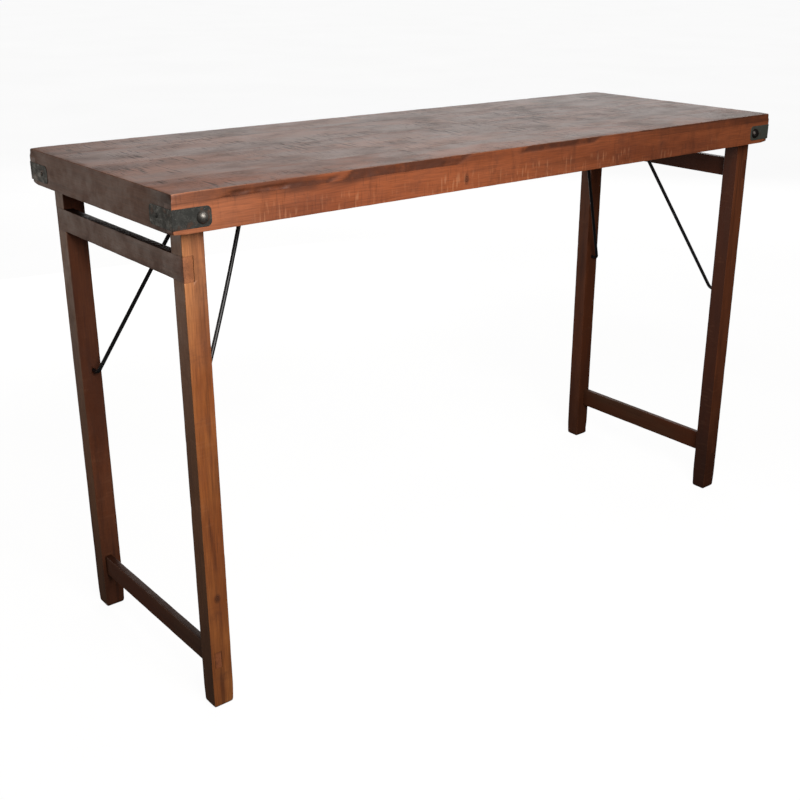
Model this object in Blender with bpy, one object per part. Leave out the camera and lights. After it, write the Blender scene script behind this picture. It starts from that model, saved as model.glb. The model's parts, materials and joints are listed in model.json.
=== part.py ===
"""Folding bar table: a boarded top on a shallow apron box, with two folding leg frames.

Metres, +Z up. The origin is on the floor below the middle of the top. +X runs along the table to its
right end and -Y is its front. Each leg frame swings on two bolts through the long aprons, and a bent
rod, hooked under the top, braces it.
"""
import math

import bmesh
import bpy
from mathutils import Matrix, Vector

# Overall size
TOP_LENGTH = 1.700
TOP_DEPTH = 0.600
TABLE_HEIGHT = 1.060

# Gap left between pieces that touch on the real table
FIT = 0.0003

# Top boards; a wide second board fills the depth that the other three leave
FRONT_BOARD_WIDTH = 0.1175
THIRD_BOARD_WIDTH = 0.1614
BACK_BOARD_WIDTH = 0.1135
BOARD_THICKNESS = 0.018
BOARD_SEAM = 0.0008
BOARD_EDGE = 0.0015

# Apron box under the boards
APRON_HEIGHT = 0.0537
LONG_APRON_THICKNESS = 0.025
END_APRON_THICKNESS = 0.0295
APRON_EDGE = 0.0012

# Legs: width along the table, depth across it
LEG_WIDTH = 0.045
LEG_DEPTH = 0.041
LEG_EDGE = 0.002
LEG_TOP_CLEARANCE = 0.005
LEG_STOP_GAP = 0.0005
PIVOT_FROM_LEG_FACE = 0.0275
FOOT_CHAMFER = 0.005

# Upper rails, half-lapped into the legs' outer faces
RAIL_HEIGHT = 0.047
RAIL_THICKNESS = 0.021
RAIL_BELOW_PIVOT = 0.0735
RAIL_EDGE = 0.0012

# Low stretchers, with tenons that go right through the legs; the two differ a little
STRETCHER_RISE = {"left": 0.088, "right": 0.103}
STRETCHER_HEIGHT = {"left": 0.0465, "right": 0.052}
STRETCHER_THICKNESS = 0.015
STRETCHER_RECESS = 0.008
TENON_SHOULDER = 0.005

# Pivot bolts with their spacers, washers and nuts
BOLT_DIAMETER = 0.010
BOLT_HEAD_DIAMETER = 0.024
BOLT_HEAD_HEIGHT = 0.008
BOLT_HEAD_RIM = 0.0015
BOLT_POINT = 0.004
SPACER_DIAMETER = 0.030
SPACER_THICKNESS = 0.0059
WASHER_DIAMETER = 0.024
WASHER_THICKNESS = 0.002
NUT_WIDTH = 0.017
NUT_THICKNESS = 0.008

# Corner straps of bent plate, and the nail in each strap's end face
STRAP_THICKNESS = 0.0023
STRAP_HEIGHT = 0.036
STRAP_ABOVE_BOLT = 0.0005
STRAP_PAST_BOLT = 0.017
STRAP_END_LENGTH = 0.081
STRAP_CORNER = 0.009
NAIL_DIAMETER = 0.004
NAIL_COVER = 0.010
NAIL_HEAD_DIAMETER = 0.009
NAIL_HEAD_HEIGHT = 0.0025
NAIL_FROM_STRAP_END = 0.026

# Stays: one rod each, bent to a tapering U, with its ends turned out into the legs
STAY_DIAMETER = 0.009
STAY_HOLE_HEIGHT = 0.585
STAY_HOLE_FROM_LEG_FACE = {"left": 0.0275, "right": 0.0225}
STAY_BAR_INSET = 0.277
STAY_BAR_LENGTH = 0.170
STAY_STUB = 0.006
STAY_HOLE_COVER = 0.014
STAY_HOLE_SPARE = 0.002
STAY_BEND = 0.014

# Battens under the boards, and the screw hooks that carry the stays' upper bars
BATTEN_THICKNESS = 0.015
BATTEN_WIDTH = 0.060
BATTEN_LEG_GAP = 0.008
BATTEN_PAST_BAR = 0.018
HOOK_DIAMETER = 0.005
HOOK_CLEARANCE = 0.0008
HOOK_COVER = 0.003
HOOK_SPACING = 0.090
HOOK_END_ANGLE = 275.0
SCREW_DIAMETER = 0.0045
SCREW_HEAD_DIAMETER = 0.009
SCREW_COVER = 0.006
SCREW_FROM_BATTEN_EDGE = 0.014

# Facets of round pieces
TURNED_STEPS = 20
SMALL_STEPS = 12
DOME_STEPS = 4
BEND_STEPS = 5
BEVEL_STEPS = 2
ROUND_PROFILE = 0.5
NUT_SIDES = 6
ROD_RESOLUTION = 3
CUT_EXCESS = 0.010
SMOOTH_ANGLE = math.radians(35)

# Points closer than this count as one
NEAR = 0.000001

# Colour, roughness and metallic value of each finish
FINISHES = {
    "board": ((0.190, 0.135, 0.110), 0.55, 0.0),
    "apron": ((0.300, 0.105, 0.050), 0.50, 0.0),
    "end_wood": ((0.085, 0.062, 0.048), 0.60, 0.0),
    "leg": ((0.240, 0.105, 0.048), 0.50, 0.0),
    "rail": ((0.060, 0.040, 0.030), 0.60, 0.0),
    "hidden_wood": ((0.160, 0.095, 0.055), 0.70, 0.0),
    "iron": ((0.040, 0.044, 0.042), 0.55, 0.8),
    "steel": ((0.300, 0.295, 0.285), 0.35, 1.0),
    "black_rod": ((0.012, 0.012, 0.013), 0.35, 0.6),
}

ENDS = {"left": -1, "right": 1}
ROWS = {"front": -1, "back": 1}

# Levels and places that follow from the sizes above
BOARD_UNDERSIDE = TABLE_HEIGHT - BOARD_THICKNESS
APRON_TOP = BOARD_UNDERSIDE - FIT
PIVOT_HEIGHT = BOARD_UNDERSIDE - LEG_TOP_CLEARANCE - LEG_WIDTH / 2
LEG_OUTER_X = TOP_LENGTH / 2 - END_APRON_THICKNESS - LEG_STOP_GAP
LEG_X = LEG_OUTER_X - LEG_WIDTH / 2
PIVOT_X = LEG_OUTER_X - PIVOT_FROM_LEG_FACE
PIVOT_INSET = TOP_LENGTH / 2 - PIVOT_X
LEG_OUTER_Y = TOP_DEPTH / 2 - LONG_APRON_THICKNESS - SPACER_THICKNESS - 2 * FIT
LEG_INNER_Y = LEG_OUTER_Y - LEG_DEPTH
LEG_Y = (LEG_OUTER_Y + LEG_INNER_Y) / 2
BATTEN_UNDERSIDE = BOARD_UNDERSIDE - FIT - BATTEN_THICKNESS
STAY_BAR_X = TOP_LENGTH / 2 - STAY_BAR_INSET
STAY_BAR_HEIGHT = BATTEN_UNDERSIDE - FIT - STAY_DIAMETER / 2
STAY_HOLE_DEPTH = LEG_DEPTH - STAY_HOLE_COVER
NAIL_LENGTH = FIT + STRAP_THICKNESS + FIT + END_APRON_THICKNESS - NAIL_COVER
HOOK_BITE = BATTEN_THICKNESS - HOOK_COVER
SCREW_LENGTH = BATTEN_THICKNESS + FIT + BOARD_THICKNESS - SCREW_COVER


def clear_scene():
    """Remove every object of the scene."""
    for obj in list(bpy.data.objects):
        bpy.data.objects.remove(obj, do_unlink=True)


def finish_material(name, finish):
    """Make one piece's own Principled material."""
    color, roughness, metallic = FINISHES[finish]
    material = bpy.data.materials.new(name + "_finish")
    material.use_nodes = True
    shader = material.node_tree.nodes["Principled BSDF"]
    shader.inputs["Base Color"].default_value = (*color, 1.0)
    shader.inputs["Roughness"].default_value = roughness
    shader.inputs["Metallic"].default_value = metallic
    return material


def world_spot(obj):
    """Where an object stands, through the holders above it, none of which is turned."""
    if obj is None:
        return Vector((0.0, 0.0, 0.0))
    return obj.location + world_spot(obj.parent)


def place(obj, spot, holder):
    """Put an object at a world spot, under a holder if it has one."""
    bpy.context.scene.collection.objects.link(obj)
    obj.parent = holder
    obj.location = Vector(spot) - world_spot(holder)
    return obj


def pivot(name, spot, holder=None):
    """Add the empty that stands on a joint's axis and holds a moving body's pieces."""
    empty = bpy.data.objects.new(name, None)
    empty.empty_display_size = LEG_WIDTH
    return place(empty, spot, holder)


def mesh_object(name, bm, spot, holder):
    """Turn a bmesh into a placed object with its faces pointing out."""
    bmesh.ops.recalc_face_normals(bm, faces=bm.faces)
    mesh = bpy.data.meshes.new(name)
    bm.to_mesh(mesh)
    bm.free()
    return place(bpy.data.objects.new(name, mesh), spot, holder)


def piece(name, bm, spot, finish, holder=None, smooth=False):
    """Add one physical piece."""
    obj = mesh_object(name, bm, spot, holder)
    obj.data.materials.append(finish_material(name, finish))
    if smooth:
        obj.data.shade_smooth()
        obj.data.set_sharp_from_angle(angle=SMOOTH_ANGLE)
    return obj


def cut(target, name, bm, spot, holder=None):
    """Cut a shape out of a piece."""
    tool = mesh_object(target.name + "_" + name, bm, spot, holder)
    tool.hide_render = True
    tool.display_type = "WIRE"
    modifier = target.modifiers.new(name, "BOOLEAN")
    modifier.operation = "DIFFERENCE"
    modifier.solver = "EXACT"
    modifier.object = tool


def block(size, edge=0.0):
    """A box with its edges eased."""
    bm = bmesh.new()
    bmesh.ops.create_cube(bm, size=1.0, matrix=Matrix.Diagonal((*size, 1.0)))
    if edge > 0.0:
        bmesh.ops.bevel(bm, geom=bm.edges[:], offset=edge, segments=1, affect="EDGES")
    return bm


def prism(outline, direction, length):
    """Extrude a closed outline by a length along a direction, centred on the outline's plane."""
    bm = bmesh.new()
    step = Vector(direction) * length
    face = bm.faces.new([bm.verts.new(Vector(point) - step / 2) for point in outline])
    sides = bmesh.ops.extrude_face_region(bm, geom=[face], use_keep_orig=True)
    moved = [item for item in sides["geom"] if isinstance(item, bmesh.types.BMVert)]
    bmesh.ops.translate(bm, verts=moved, vec=step)
    return bm


def turned(profile, axis, steps):
    """Turn a profile of (radius, height) points about an axis; a closed one makes a ring."""
    bm = bmesh.new()
    verts = [bm.verts.new((radius, 0.0, height)) for radius, height in profile]
    edges = [bm.edges.new(pair) for pair in zip(verts, verts[1:])]
    if profile[0][0] > 0.0:
        edges.append(bm.edges.new((verts[-1], verts[0])))
    bmesh.ops.spin(bm, geom=verts + edges, cent=(0, 0, 0), axis=(0, 0, 1),
                   angle=math.tau, steps=steps, use_merge=True)
    bmesh.ops.remove_doubles(bm, verts=bm.verts, dist=NEAR)
    turn = Vector((0, 0, 1)).rotation_difference(Vector(axis)).to_matrix()
    bmesh.ops.rotate(bm, verts=bm.verts, cent=(0, 0, 0), matrix=turn)
    return bm


def cylinder(diameter, low, high, axis, steps):
    """A cylinder between two heights along an axis."""
    radius = diameter / 2
    return turned([(0.0, low), (radius, low), (radius, high), (0.0, high)], axis, steps)


def ring(outer, inner, thickness, axis):
    """A flat ring of a given thickness, centred on its own middle."""
    half = thickness / 2
    profile = [(inner / 2, -half), (outer / 2, -half), (outer / 2, half), (inner / 2, half)]
    return turned(profile, axis, TURNED_STEPS)


def headed_pin(diameter, length, head_diameter, head_height, rim, axis, steps):
    """A pin along an axis with a domed head, whose seat is at height zero."""
    radius = diameter / 2
    head_radius = head_diameter / 2
    rise = head_height - rim
    dome_radius = (head_radius ** 2 + rise ** 2) / (2 * rise)
    dome_angle = math.asin(head_radius / dome_radius)
    if rise > head_radius:
        dome_angle = math.pi - dome_angle
    profile = [(0.0, -length), (radius, -length), (radius, 0.0), (head_radius, 0.0)]
    for step in range(DOME_STEPS):
        angle = dome_angle * (1 - step / DOME_STEPS)
        height = head_height - dome_radius * (1 - math.cos(angle))
        profile.append((dome_radius * math.sin(angle), height))
    profile.append((0.0, head_height))
    return turned(profile, axis, steps)


def rounded_path(corners, radius):
    """Points along straight runs between corners, with an arc at each inner corner."""
    points = [corners[0]]
    for before, corner, after in zip(corners, corners[1:], corners[2:]):
        back = (before - corner).normalized()
        ahead = (after - corner).normalized()
        half = back.angle(ahead) / 2
        centre = corner + (back + ahead).normalized() * radius / math.sin(half)
        start = corner + back * radius / math.tan(half) - centre
        end = corner + ahead * radius / math.tan(half) - centre
        for step in range(BEND_STEPS + 1):
            points.append(centre + start.slerp(end, step / BEND_STEPS) * radius)
    points.append(corners[-1])
    return points


def rod(name, points, diameter, spot, finish, holder=None):
    """A round rod through world points, as an object whose origin is at a world spot."""
    curve = bpy.data.curves.new(name, "CURVE")
    curve.dimensions = "3D"
    curve.fill_mode = "FULL"
    curve.bevel_depth = diameter / 2
    curve.bevel_resolution = ROD_RESOLUTION
    curve.use_fill_caps = True
    spline = curve.splines.new("POLY")
    spline.points.add(len(points) - 1)
    for target, point in zip(spline.points, points):
        target.co = (*(point - Vector(spot)), 1.0)
    curve.materials.append(finish_material(name, finish))
    return place(bpy.data.objects.new(name, curve), spot, holder)


def board_spans():
    """The low and high Y of each top board, from front to back."""
    edge = TOP_DEPTH / 2
    first_seam = -edge + FRONT_BOARD_WIDTH
    last_seam = edge - BACK_BOARD_WIDTH - BOARD_SEAM
    middle_seam = last_seam - THIRD_BOARD_WIDTH - BOARD_SEAM
    lows = (-edge, first_seam + BOARD_SEAM, middle_seam + BOARD_SEAM, last_seam + BOARD_SEAM)
    highs = (first_seam, middle_seam, last_seam, edge)
    return list(zip(lows, highs))


def make_boards():
    """The lengthwise boards of the top."""
    boards = []
    for number, (low, high) in enumerate(board_spans(), start=1):
        shape = block((TOP_LENGTH, high - low, BOARD_THICKNESS), BOARD_EDGE)
        spot = (0.0, (low + high) / 2, TABLE_HEIGHT - BOARD_THICKNESS / 2)
        boards.append(piece(f"top_board_{number}", shape, spot, "board"))
    return boards


def pivot_spot(end, y):
    """A point on a leg frame's pivot axis."""
    return (ENDS[end] * PIVOT_X, y, PIVOT_HEIGHT)


def bolt_bore(depth):
    """The cutter for a pivot bolt's bore through a depth of material."""
    reach = depth / 2 + CUT_EXCESS
    return cylinder(BOLT_DIAMETER + 2 * FIT, -reach, reach, (0, 1, 0), TURNED_STEPS)


def make_aprons():
    """The long and the end aprons, bored for the bolts and the strap nails."""
    height = APRON_TOP - APRON_HEIGHT / 2
    for row, across in ROWS.items():
        y = across * (TOP_DEPTH - LONG_APRON_THICKNESS) / 2
        shape = block((TOP_LENGTH, LONG_APRON_THICKNESS, APRON_HEIGHT), APRON_EDGE)
        apron = piece(f"{row}_apron", shape, (0.0, y, height), "apron")
        for end in ENDS:
            cut(apron, f"{end}_bolt_bore", bolt_bore(LONG_APRON_THICKNESS), pivot_spot(end, y))
    span = TOP_DEPTH - 2 * LONG_APRON_THICKNESS - 2 * FIT
    for end, along in ENDS.items():
        x = along * (TOP_LENGTH - END_APRON_THICKNESS) / 2
        shape = block((END_APRON_THICKNESS, span, APRON_HEIGHT), APRON_EDGE)
        apron = piece(f"{end}_end_apron", shape, (x, 0.0, height), "end_wood")
        for row in ROWS:
            cut(apron, f"{row}_nail_bore", nail_bore(end), nail_spot(end, row))


def nail_spot(end, row):
    """Where a strap nail's head seats on the strap's end face."""
    x = ENDS[end] * (TOP_LENGTH / 2 + FIT + STRAP_THICKNESS + FIT)
    y = ROWS[row] * (TOP_DEPTH / 2 - STRAP_END_LENGTH + NAIL_FROM_STRAP_END)
    return (x, y, PIVOT_HEIGHT + STRAP_ABOVE_BOLT)


def nail_bore(end):
    """The cutter for a strap nail's bore."""
    axis = (ENDS[end], 0, 0)
    return cylinder(NAIL_DIAMETER + 2 * FIT, -NAIL_LENGTH - FIT, CUT_EXCESS, axis, SMALL_STEPS)


def strap_shape(end, row):
    """A bent plate round a corner of the apron box, with its free ends' corners rounded."""
    inner = -FIT
    outer = -FIT - STRAP_THICKNESS
    front_length = PIVOT_INSET + STRAP_PAST_BOLT
    outline = [(front_length, inner), (inner, inner), (inner, STRAP_END_LENGTH)]
    outline += [(outer, STRAP_END_LENGTH)]
    for step in range(BEND_STEPS + 1):
        angle = math.pi * (1 + 0.5 * step / BEND_STEPS)
        bend = (inner + STRAP_THICKNESS * math.cos(angle), inner + STRAP_THICKNESS * math.sin(angle))
        outline.append(bend)
    outline.append((front_length, outer))
    bm = prism([(u, v, 0.0) for u, v in outline], (0, 0, 1), STRAP_HEIGHT)

    def at_free_end(edge):
        level = abs(edge.verts[0].co.z - edge.verts[1].co.z) < NEAR
        far = [max(vert.co.x - front_length, vert.co.y - STRAP_END_LENGTH) for vert in edge.verts]
        return level and min(far) > -NEAR

    corners = [edge for edge in bm.edges if at_free_end(edge)]
    bmesh.ops.bevel(bm, geom=corners, offset=STRAP_CORNER, segments=BEND_STEPS, affect="EDGES",
                    profile=ROUND_PROFILE)
    bmesh.ops.scale(bm, verts=bm.verts, vec=(-ENDS[end], -ROWS[row], 1.0))
    return bm


def make_straps():
    """The four corner straps with their end nails."""
    for end, along in ENDS.items():
        for row, across in ROWS.items():
            corner = (along * TOP_LENGTH / 2, across * TOP_DEPTH / 2, PIVOT_HEIGHT + STRAP_ABOVE_BOLT)
            strap = piece(f"{row}_{end}_strap", strap_shape(end, row), corner, "iron")
            face = across * (TOP_DEPTH / 2 + FIT + STRAP_THICKNESS / 2)
            cut(strap, "bolt_bore", bolt_bore(STRAP_THICKNESS), pivot_spot(end, face))
            cut(strap, "nail_bore", nail_bore(end), nail_spot(end, row))
            nail = headed_pin(NAIL_DIAMETER, NAIL_LENGTH, NAIL_HEAD_DIAMETER, NAIL_HEAD_HEIGHT, 0.0,
                              (along, 0, 0), SMALL_STEPS)
            piece(f"{row}_{end}_strap_nail", nail, nail_spot(end, row), "iron", smooth=True)


def make_pivots():
    """The pivot bolts, each with a spacer outside its leg and a washer and nut inside."""
    head_seat = TOP_DEPTH / 2 + FIT + STRAP_THICKNESS + FIT
    washer_face = LEG_INNER_Y - FIT
    nut_face = washer_face - WASHER_THICKNESS - FIT
    bolt_length = head_seat - nut_face + NUT_THICKNESS + BOLT_POINT
    spacer_y = LEG_OUTER_Y + FIT + SPACER_THICKNESS / 2
    hole = BOLT_DIAMETER + 2 * FIT
    for end in ENDS:
        for row, across in ROWS.items():
            axis = (0, across, 0)
            name = f"{row}_{end}_pivot"
            bolt = headed_pin(BOLT_DIAMETER, bolt_length, BOLT_HEAD_DIAMETER, BOLT_HEAD_HEIGHT,
                              BOLT_HEAD_RIM, axis, TURNED_STEPS)
            piece(name + "_bolt", bolt, pivot_spot(end, across * head_seat), "steel", smooth=True)
            spacer = ring(SPACER_DIAMETER, hole, SPACER_THICKNESS, axis)
            piece(name + "_spacer", spacer, pivot_spot(end, across * spacer_y), "iron", smooth=True)
            washer = ring(WASHER_DIAMETER, hole, WASHER_THICKNESS, axis)
            washer_y = across * (washer_face - WASHER_THICKNESS / 2)
            piece(name + "_washer", washer, pivot_spot(end, washer_y), "steel", smooth=True)
            nut_spot = pivot_spot(end, across * (nut_face - NUT_THICKNESS / 2))
            nut = piece(name + "_nut", nut_shape(), nut_spot, "steel")
            cut(nut, "thread_bore", bolt_bore(NUT_THICKNESS), nut_spot)


def nut_shape():
    """A hexagonal nut blank along Y."""
    corner = NUT_WIDTH / 2 / math.cos(math.pi / NUT_SIDES)
    hexagon = [math.tau * step / NUT_SIDES for step in range(NUT_SIDES)]
    outline = [(corner * math.cos(angle), 0.0, corner * math.sin(angle)) for angle in hexagon]
    return prism(outline, (0, 1, 0), NUT_THICKNESS)


def leg_shape():
    """A leg about the middle of its half-round top: square section and a chamfered foot."""
    half = LEG_WIDTH / 2
    sole = FOOT_CHAMFER - PIVOT_HEIGHT
    outline = [(-half, 0.0, sole), (half, 0.0, sole)]
    for step in range(SMALL_STEPS + 1):
        angle = math.pi * step / SMALL_STEPS
        outline.append((half * math.cos(angle), 0.0, half * math.sin(angle)))
    bm = prism(outline, (0, 1, 0), LEG_DEPTH)

    def is_long(edge):
        same_face = abs(edge.verts[0].co.y - edge.verts[1].co.y) < NEAR
        return same_face and max(vert.co.z for vert in edge.verts) > sole + NEAR

    long_edges = [edge for edge in bm.edges if is_long(edge)]
    bmesh.ops.bevel(bm, geom=long_edges, offset=LEG_EDGE, segments=BEVEL_STEPS, affect="EDGES",
                    profile=ROUND_PROFILE)
    bottom = min(bm.faces, key=lambda face: face.calc_center_median().z)
    foot = bmesh.ops.extrude_face_region(bm, geom=[bottom])
    moved = [item for item in foot["geom"] if isinstance(item, bmesh.types.BMVert)]
    bmesh.ops.delete(bm, geom=[bottom], context="FACES_ONLY")
    shrink = (1 - 2 * FOOT_CHAMFER / LEG_WIDTH, 1 - 2 * FOOT_CHAMFER / LEG_DEPTH, 1.0)
    bmesh.ops.scale(bm, verts=moved, vec=shrink)
    bmesh.ops.translate(bm, verts=moved, vec=(0.0, 0.0, -FOOT_CHAMFER))
    return bm


def rail_bottom():
    """Height of the upper rails' lower edge."""
    return PIVOT_HEIGHT - RAIL_BELOW_PIVOT - RAIL_HEIGHT


def stretcher_x(end):
    """X of the middle of a stretcher's thickness."""
    return ENDS[end] * (LEG_OUTER_X - STRETCHER_RECESS - STRETCHER_THICKNESS / 2)


def stay_hole_x(end):
    """X of the holes in which a stay turns."""
    return ENDS[end] * (LEG_OUTER_X - STAY_HOLE_FROM_LEG_FACE[end])


def make_leg(end, row, frame):
    """One leg with its bolt bore, rail notch, stretcher mortise and stay hole."""
    along = ENDS[end]
    across = ROWS[row]
    middle = across * LEG_Y
    leg = piece(f"{row}_{end}_leg", leg_shape(), (along * LEG_X, middle, PIVOT_HEIGHT), "leg", frame)
    through = LEG_DEPTH + 2 * CUT_EXCESS
    cut(leg, "bolt_bore", bolt_bore(LEG_DEPTH), pivot_spot(end, middle), frame)

    notch_depth = RAIL_THICKNESS + FIT + CUT_EXCESS
    notch = block((notch_depth, through, RAIL_HEIGHT + 2 * FIT))
    notch_x = along * (LEG_OUTER_X + CUT_EXCESS - notch_depth / 2)
    notch_height = rail_bottom() + RAIL_HEIGHT / 2
    cut(leg, "rail_notch", notch, (notch_x, middle, notch_height), frame)

    tenon_height = STRETCHER_HEIGHT[end] - 2 * TENON_SHOULDER
    mortise = block((STRETCHER_THICKNESS + 2 * FIT, through, tenon_height + 2 * FIT))
    mortise_height = STRETCHER_RISE[end] + STRETCHER_HEIGHT[end] / 2
    cut(leg, "mortise", mortise, (stretcher_x(end), middle, mortise_height), frame)

    bore = STAY_DIAMETER + 2 * FIT
    hole = cylinder(bore, -CUT_EXCESS, STAY_HOLE_DEPTH, (0, across, 0), TURNED_STEPS)
    cut(leg, "stay_hole", hole, (stay_hole_x(end), across * LEG_INNER_Y, STAY_HOLE_HEIGHT), frame)


def make_rail(end, frame):
    """The upper rail, as long as the frame is wide, lying in the legs' notches."""
    x = ENDS[end] * (LEG_OUTER_X - RAIL_THICKNESS / 2)
    shape = block((RAIL_THICKNESS, 2 * LEG_OUTER_Y, RAIL_HEIGHT), RAIL_EDGE)
    piece(f"{end}_upper_rail", shape, (x, 0.0, rail_bottom() + RAIL_HEIGHT / 2), "rail", frame)


def make_stretcher(end, frame):
    """The low stretcher, shouldered between the legs, with its tenons flush with their faces."""
    half = STRETCHER_HEIGHT[end] / 2
    tenon = half - TENON_SHOULDER
    shoulder = LEG_INNER_Y - FIT
    quarter = [(LEG_OUTER_Y, tenon), (shoulder, tenon), (shoulder, half)]
    upper = quarter + [(-y, z) for y, z in reversed(quarter)]
    outline = upper + [(y, -z) for y, z in reversed(upper)]
    shape = prism([(0.0, y, z) for y, z in outline], (1, 0, 0), STRETCHER_THICKNESS)
    spot = (stretcher_x(end), 0.0, STRETCHER_RISE[end] + half)
    piece(f"{end}_stretcher", shape, spot, "rail", frame)


def make_stay(end, frame):
    """The bent rod that braces a leg frame, turning in its legs' holes."""
    along = ENDS[end]
    low = Vector((stay_hole_x(end), 0.0, STAY_HOLE_HEIGHT))
    high = Vector((along * STAY_BAR_X, 0.0, STAY_BAR_HEIGHT))
    side = Vector((0.0, 1.0, 0.0))
    tip = LEG_INNER_Y + STAY_HOLE_DEPTH - STAY_HOLE_SPARE
    elbow = LEG_INNER_Y - STAY_STUB - STAY_BEND
    half = [low + side * tip, low + side * elbow, high + side * STAY_BAR_LENGTH / 2]
    other = [Vector((point.x, -point.y, point.z)) for point in reversed(half)]
    joint = pivot(f"{end}_stay_pivot", low, frame)
    points = rounded_path(half + other, STAY_BEND)
    rod(f"{end}_stay", points, STAY_DIAMETER, low, "black_rod", joint)


def make_leg_frame(end):
    """A folding leg frame on its pivot, with the stay that braces it."""
    frame = pivot(f"{end}_frame_pivot", pivot_spot(end, 0.0))
    for row in ROWS:
        make_leg(end, row, frame)
    make_rail(end, frame)
    make_stretcher(end, frame)
    make_stay(end, frame)


def screw_shape(clearance):
    """A countersunk screw pointing up, its head's flat face at height zero."""
    radius = SCREW_DIAMETER / 2 + clearance
    head = SCREW_HEAD_DIAMETER / 2 + clearance
    length = SCREW_LENGTH + clearance
    profile = [(0.0, 0.0), (head, 0.0), (radius, head - radius), (radius, length), (0.0, length)]
    return turned(profile, (0, 0, 1), SMALL_STEPS)


def screw_bore():
    """The cutter for a batten screw, open below the batten."""
    bm = screw_shape(FIT)
    below = [vert for vert in bm.verts if vert.co.z < NEAR]
    bmesh.ops.translate(bm, verts=below, vec=(0.0, 0.0, -FIT))
    return bm


def make_hook(name, spot, inward):
    """A screw hook under a stay's bar, open towards the middle of the table."""
    radius = STAY_DIAMETER / 2 + HOOK_CLEARANCE + HOOK_DIAMETER / 2
    points = [Vector((spot.x - inward * radius, spot.y, BATTEN_UNDERSIDE + HOOK_BITE))]
    for step in range(BEND_STEPS + 1):
        angle = math.radians(180.0 + (HOOK_END_ANGLE - 180.0) * step / BEND_STEPS)
        lift = Vector((inward * math.cos(angle), 0.0, math.sin(angle)))
        points.append(spot + lift * radius)
    rod(name, points, HOOK_DIAMETER, spot, "iron")
    return points[0]


def make_batten(name, x, screw_x, boards):
    """A batten across the boards, with a countersunk screw into each of the two middle boards."""
    length = 2 * (LEG_INNER_Y - BATTEN_LEG_GAP)
    shape = block((BATTEN_WIDTH, length, BATTEN_THICKNESS), BOARD_EDGE)
    batten = piece(name, shape, (x, 0.0, BATTEN_UNDERSIDE + BATTEN_THICKNESS / 2), "hidden_wood")
    for side, board in zip(("front", "back"), boards[1:3]):
        spot = (screw_x, board.location.y, BATTEN_UNDERSIDE)
        for target in (batten, board):
            cut(target, f"{name}_{side}_screw_bore", screw_bore(), spot)
        piece(f"{name}_{side}_screw", screw_shape(0.0), spot, "steel", smooth=True)
    return batten


def make_battens(boards):
    """The middle batten, and a catch batten with two hooks at each stay's bar."""
    make_batten("middle_batten", 0.0, 0.0, boards)
    for end, along in ENDS.items():
        inner_edge = STAY_BAR_X - BATTEN_PAST_BAR
        x = along * (inner_edge + BATTEN_WIDTH / 2)
        screw_x = along * (inner_edge + BATTEN_WIDTH - SCREW_FROM_BATTEN_EDGE)
        batten = make_batten(f"{end}_catch_batten", x, screw_x, boards)
        for row, across in ROWS.items():
            spot = Vector((along * STAY_BAR_X, across * HOOK_SPACING / 2, STAY_BAR_HEIGHT))
            shank = make_hook(f"{row}_{end}_hook", spot, -along)
            bore = cylinder(HOOK_DIAMETER + 2 * FIT, -HOOK_BITE - CUT_EXCESS, FIT, (0, 0, 1), SMALL_STEPS)
            cut(batten, f"{row}_hook_bore", bore, shank)


def main():
    """Build the whole table."""
    clear_scene()
    boards = make_boards()
    make_aprons()
    make_straps()
    make_pivots()
    make_battens(boards)
    for end in ENDS:
        make_leg_frame(end)


main()
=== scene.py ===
"""Dresses a folding bar table: worn boards and legs, iron corner straps, bolts and bent stays.

Metres, +Z up. +X runs along the table to its right end and -Y is its front.
"""

import json
import math

import bmesh
import bpy
from bpy.props import FloatProperty, FloatVectorProperty, PointerProperty
from mathutils import Matrix, Vector, noise

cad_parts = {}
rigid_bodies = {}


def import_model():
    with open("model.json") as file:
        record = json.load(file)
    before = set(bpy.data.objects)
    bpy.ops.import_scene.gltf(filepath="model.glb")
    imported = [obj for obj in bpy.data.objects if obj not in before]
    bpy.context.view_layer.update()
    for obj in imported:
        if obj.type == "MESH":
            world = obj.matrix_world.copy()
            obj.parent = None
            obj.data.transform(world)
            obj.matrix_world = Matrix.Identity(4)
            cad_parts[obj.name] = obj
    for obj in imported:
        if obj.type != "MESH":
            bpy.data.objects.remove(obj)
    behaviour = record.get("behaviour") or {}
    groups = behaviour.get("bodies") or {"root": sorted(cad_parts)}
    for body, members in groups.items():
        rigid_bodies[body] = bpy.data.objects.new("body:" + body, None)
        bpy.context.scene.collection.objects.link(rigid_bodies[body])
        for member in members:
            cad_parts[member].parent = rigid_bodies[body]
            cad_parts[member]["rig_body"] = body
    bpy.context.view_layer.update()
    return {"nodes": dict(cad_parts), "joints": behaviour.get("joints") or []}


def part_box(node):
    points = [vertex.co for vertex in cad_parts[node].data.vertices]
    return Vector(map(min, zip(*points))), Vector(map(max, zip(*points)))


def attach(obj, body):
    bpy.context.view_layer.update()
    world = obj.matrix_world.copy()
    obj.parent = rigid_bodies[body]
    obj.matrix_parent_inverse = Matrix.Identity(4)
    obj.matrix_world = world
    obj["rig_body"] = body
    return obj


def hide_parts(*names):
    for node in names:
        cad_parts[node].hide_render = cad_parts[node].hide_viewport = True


bl_info = {
    "name": "Folding bar table",
    "version": (1, 0, 0),
    "blender": (4, 5, 0),
    "location": "3D View > Sidebar > Table",
    "description": "Dresses a folding bar table in worn timber and dark iron",
    "category": "Object",
}

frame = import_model()
front_board_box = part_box("top_board_1")
top_low, top_high = front_board_box[0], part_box("top_board_4")[1]

ENDS = {"left": -1, "right": 1}
ROWS = {"front": -1, "back": 1}
CORNERS = [(row, end) for row in ROWS for end in ENDS]
X, Y, Z = range(3)

# Point colours of a timber: worn edge, faces up, stain with painted shade, end grain
MARKS = "marks"
WELD = 0.000002
FLAT_ANGLE = math.radians(1.0)
SHARP_ANGLE = math.radians(42)
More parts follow.
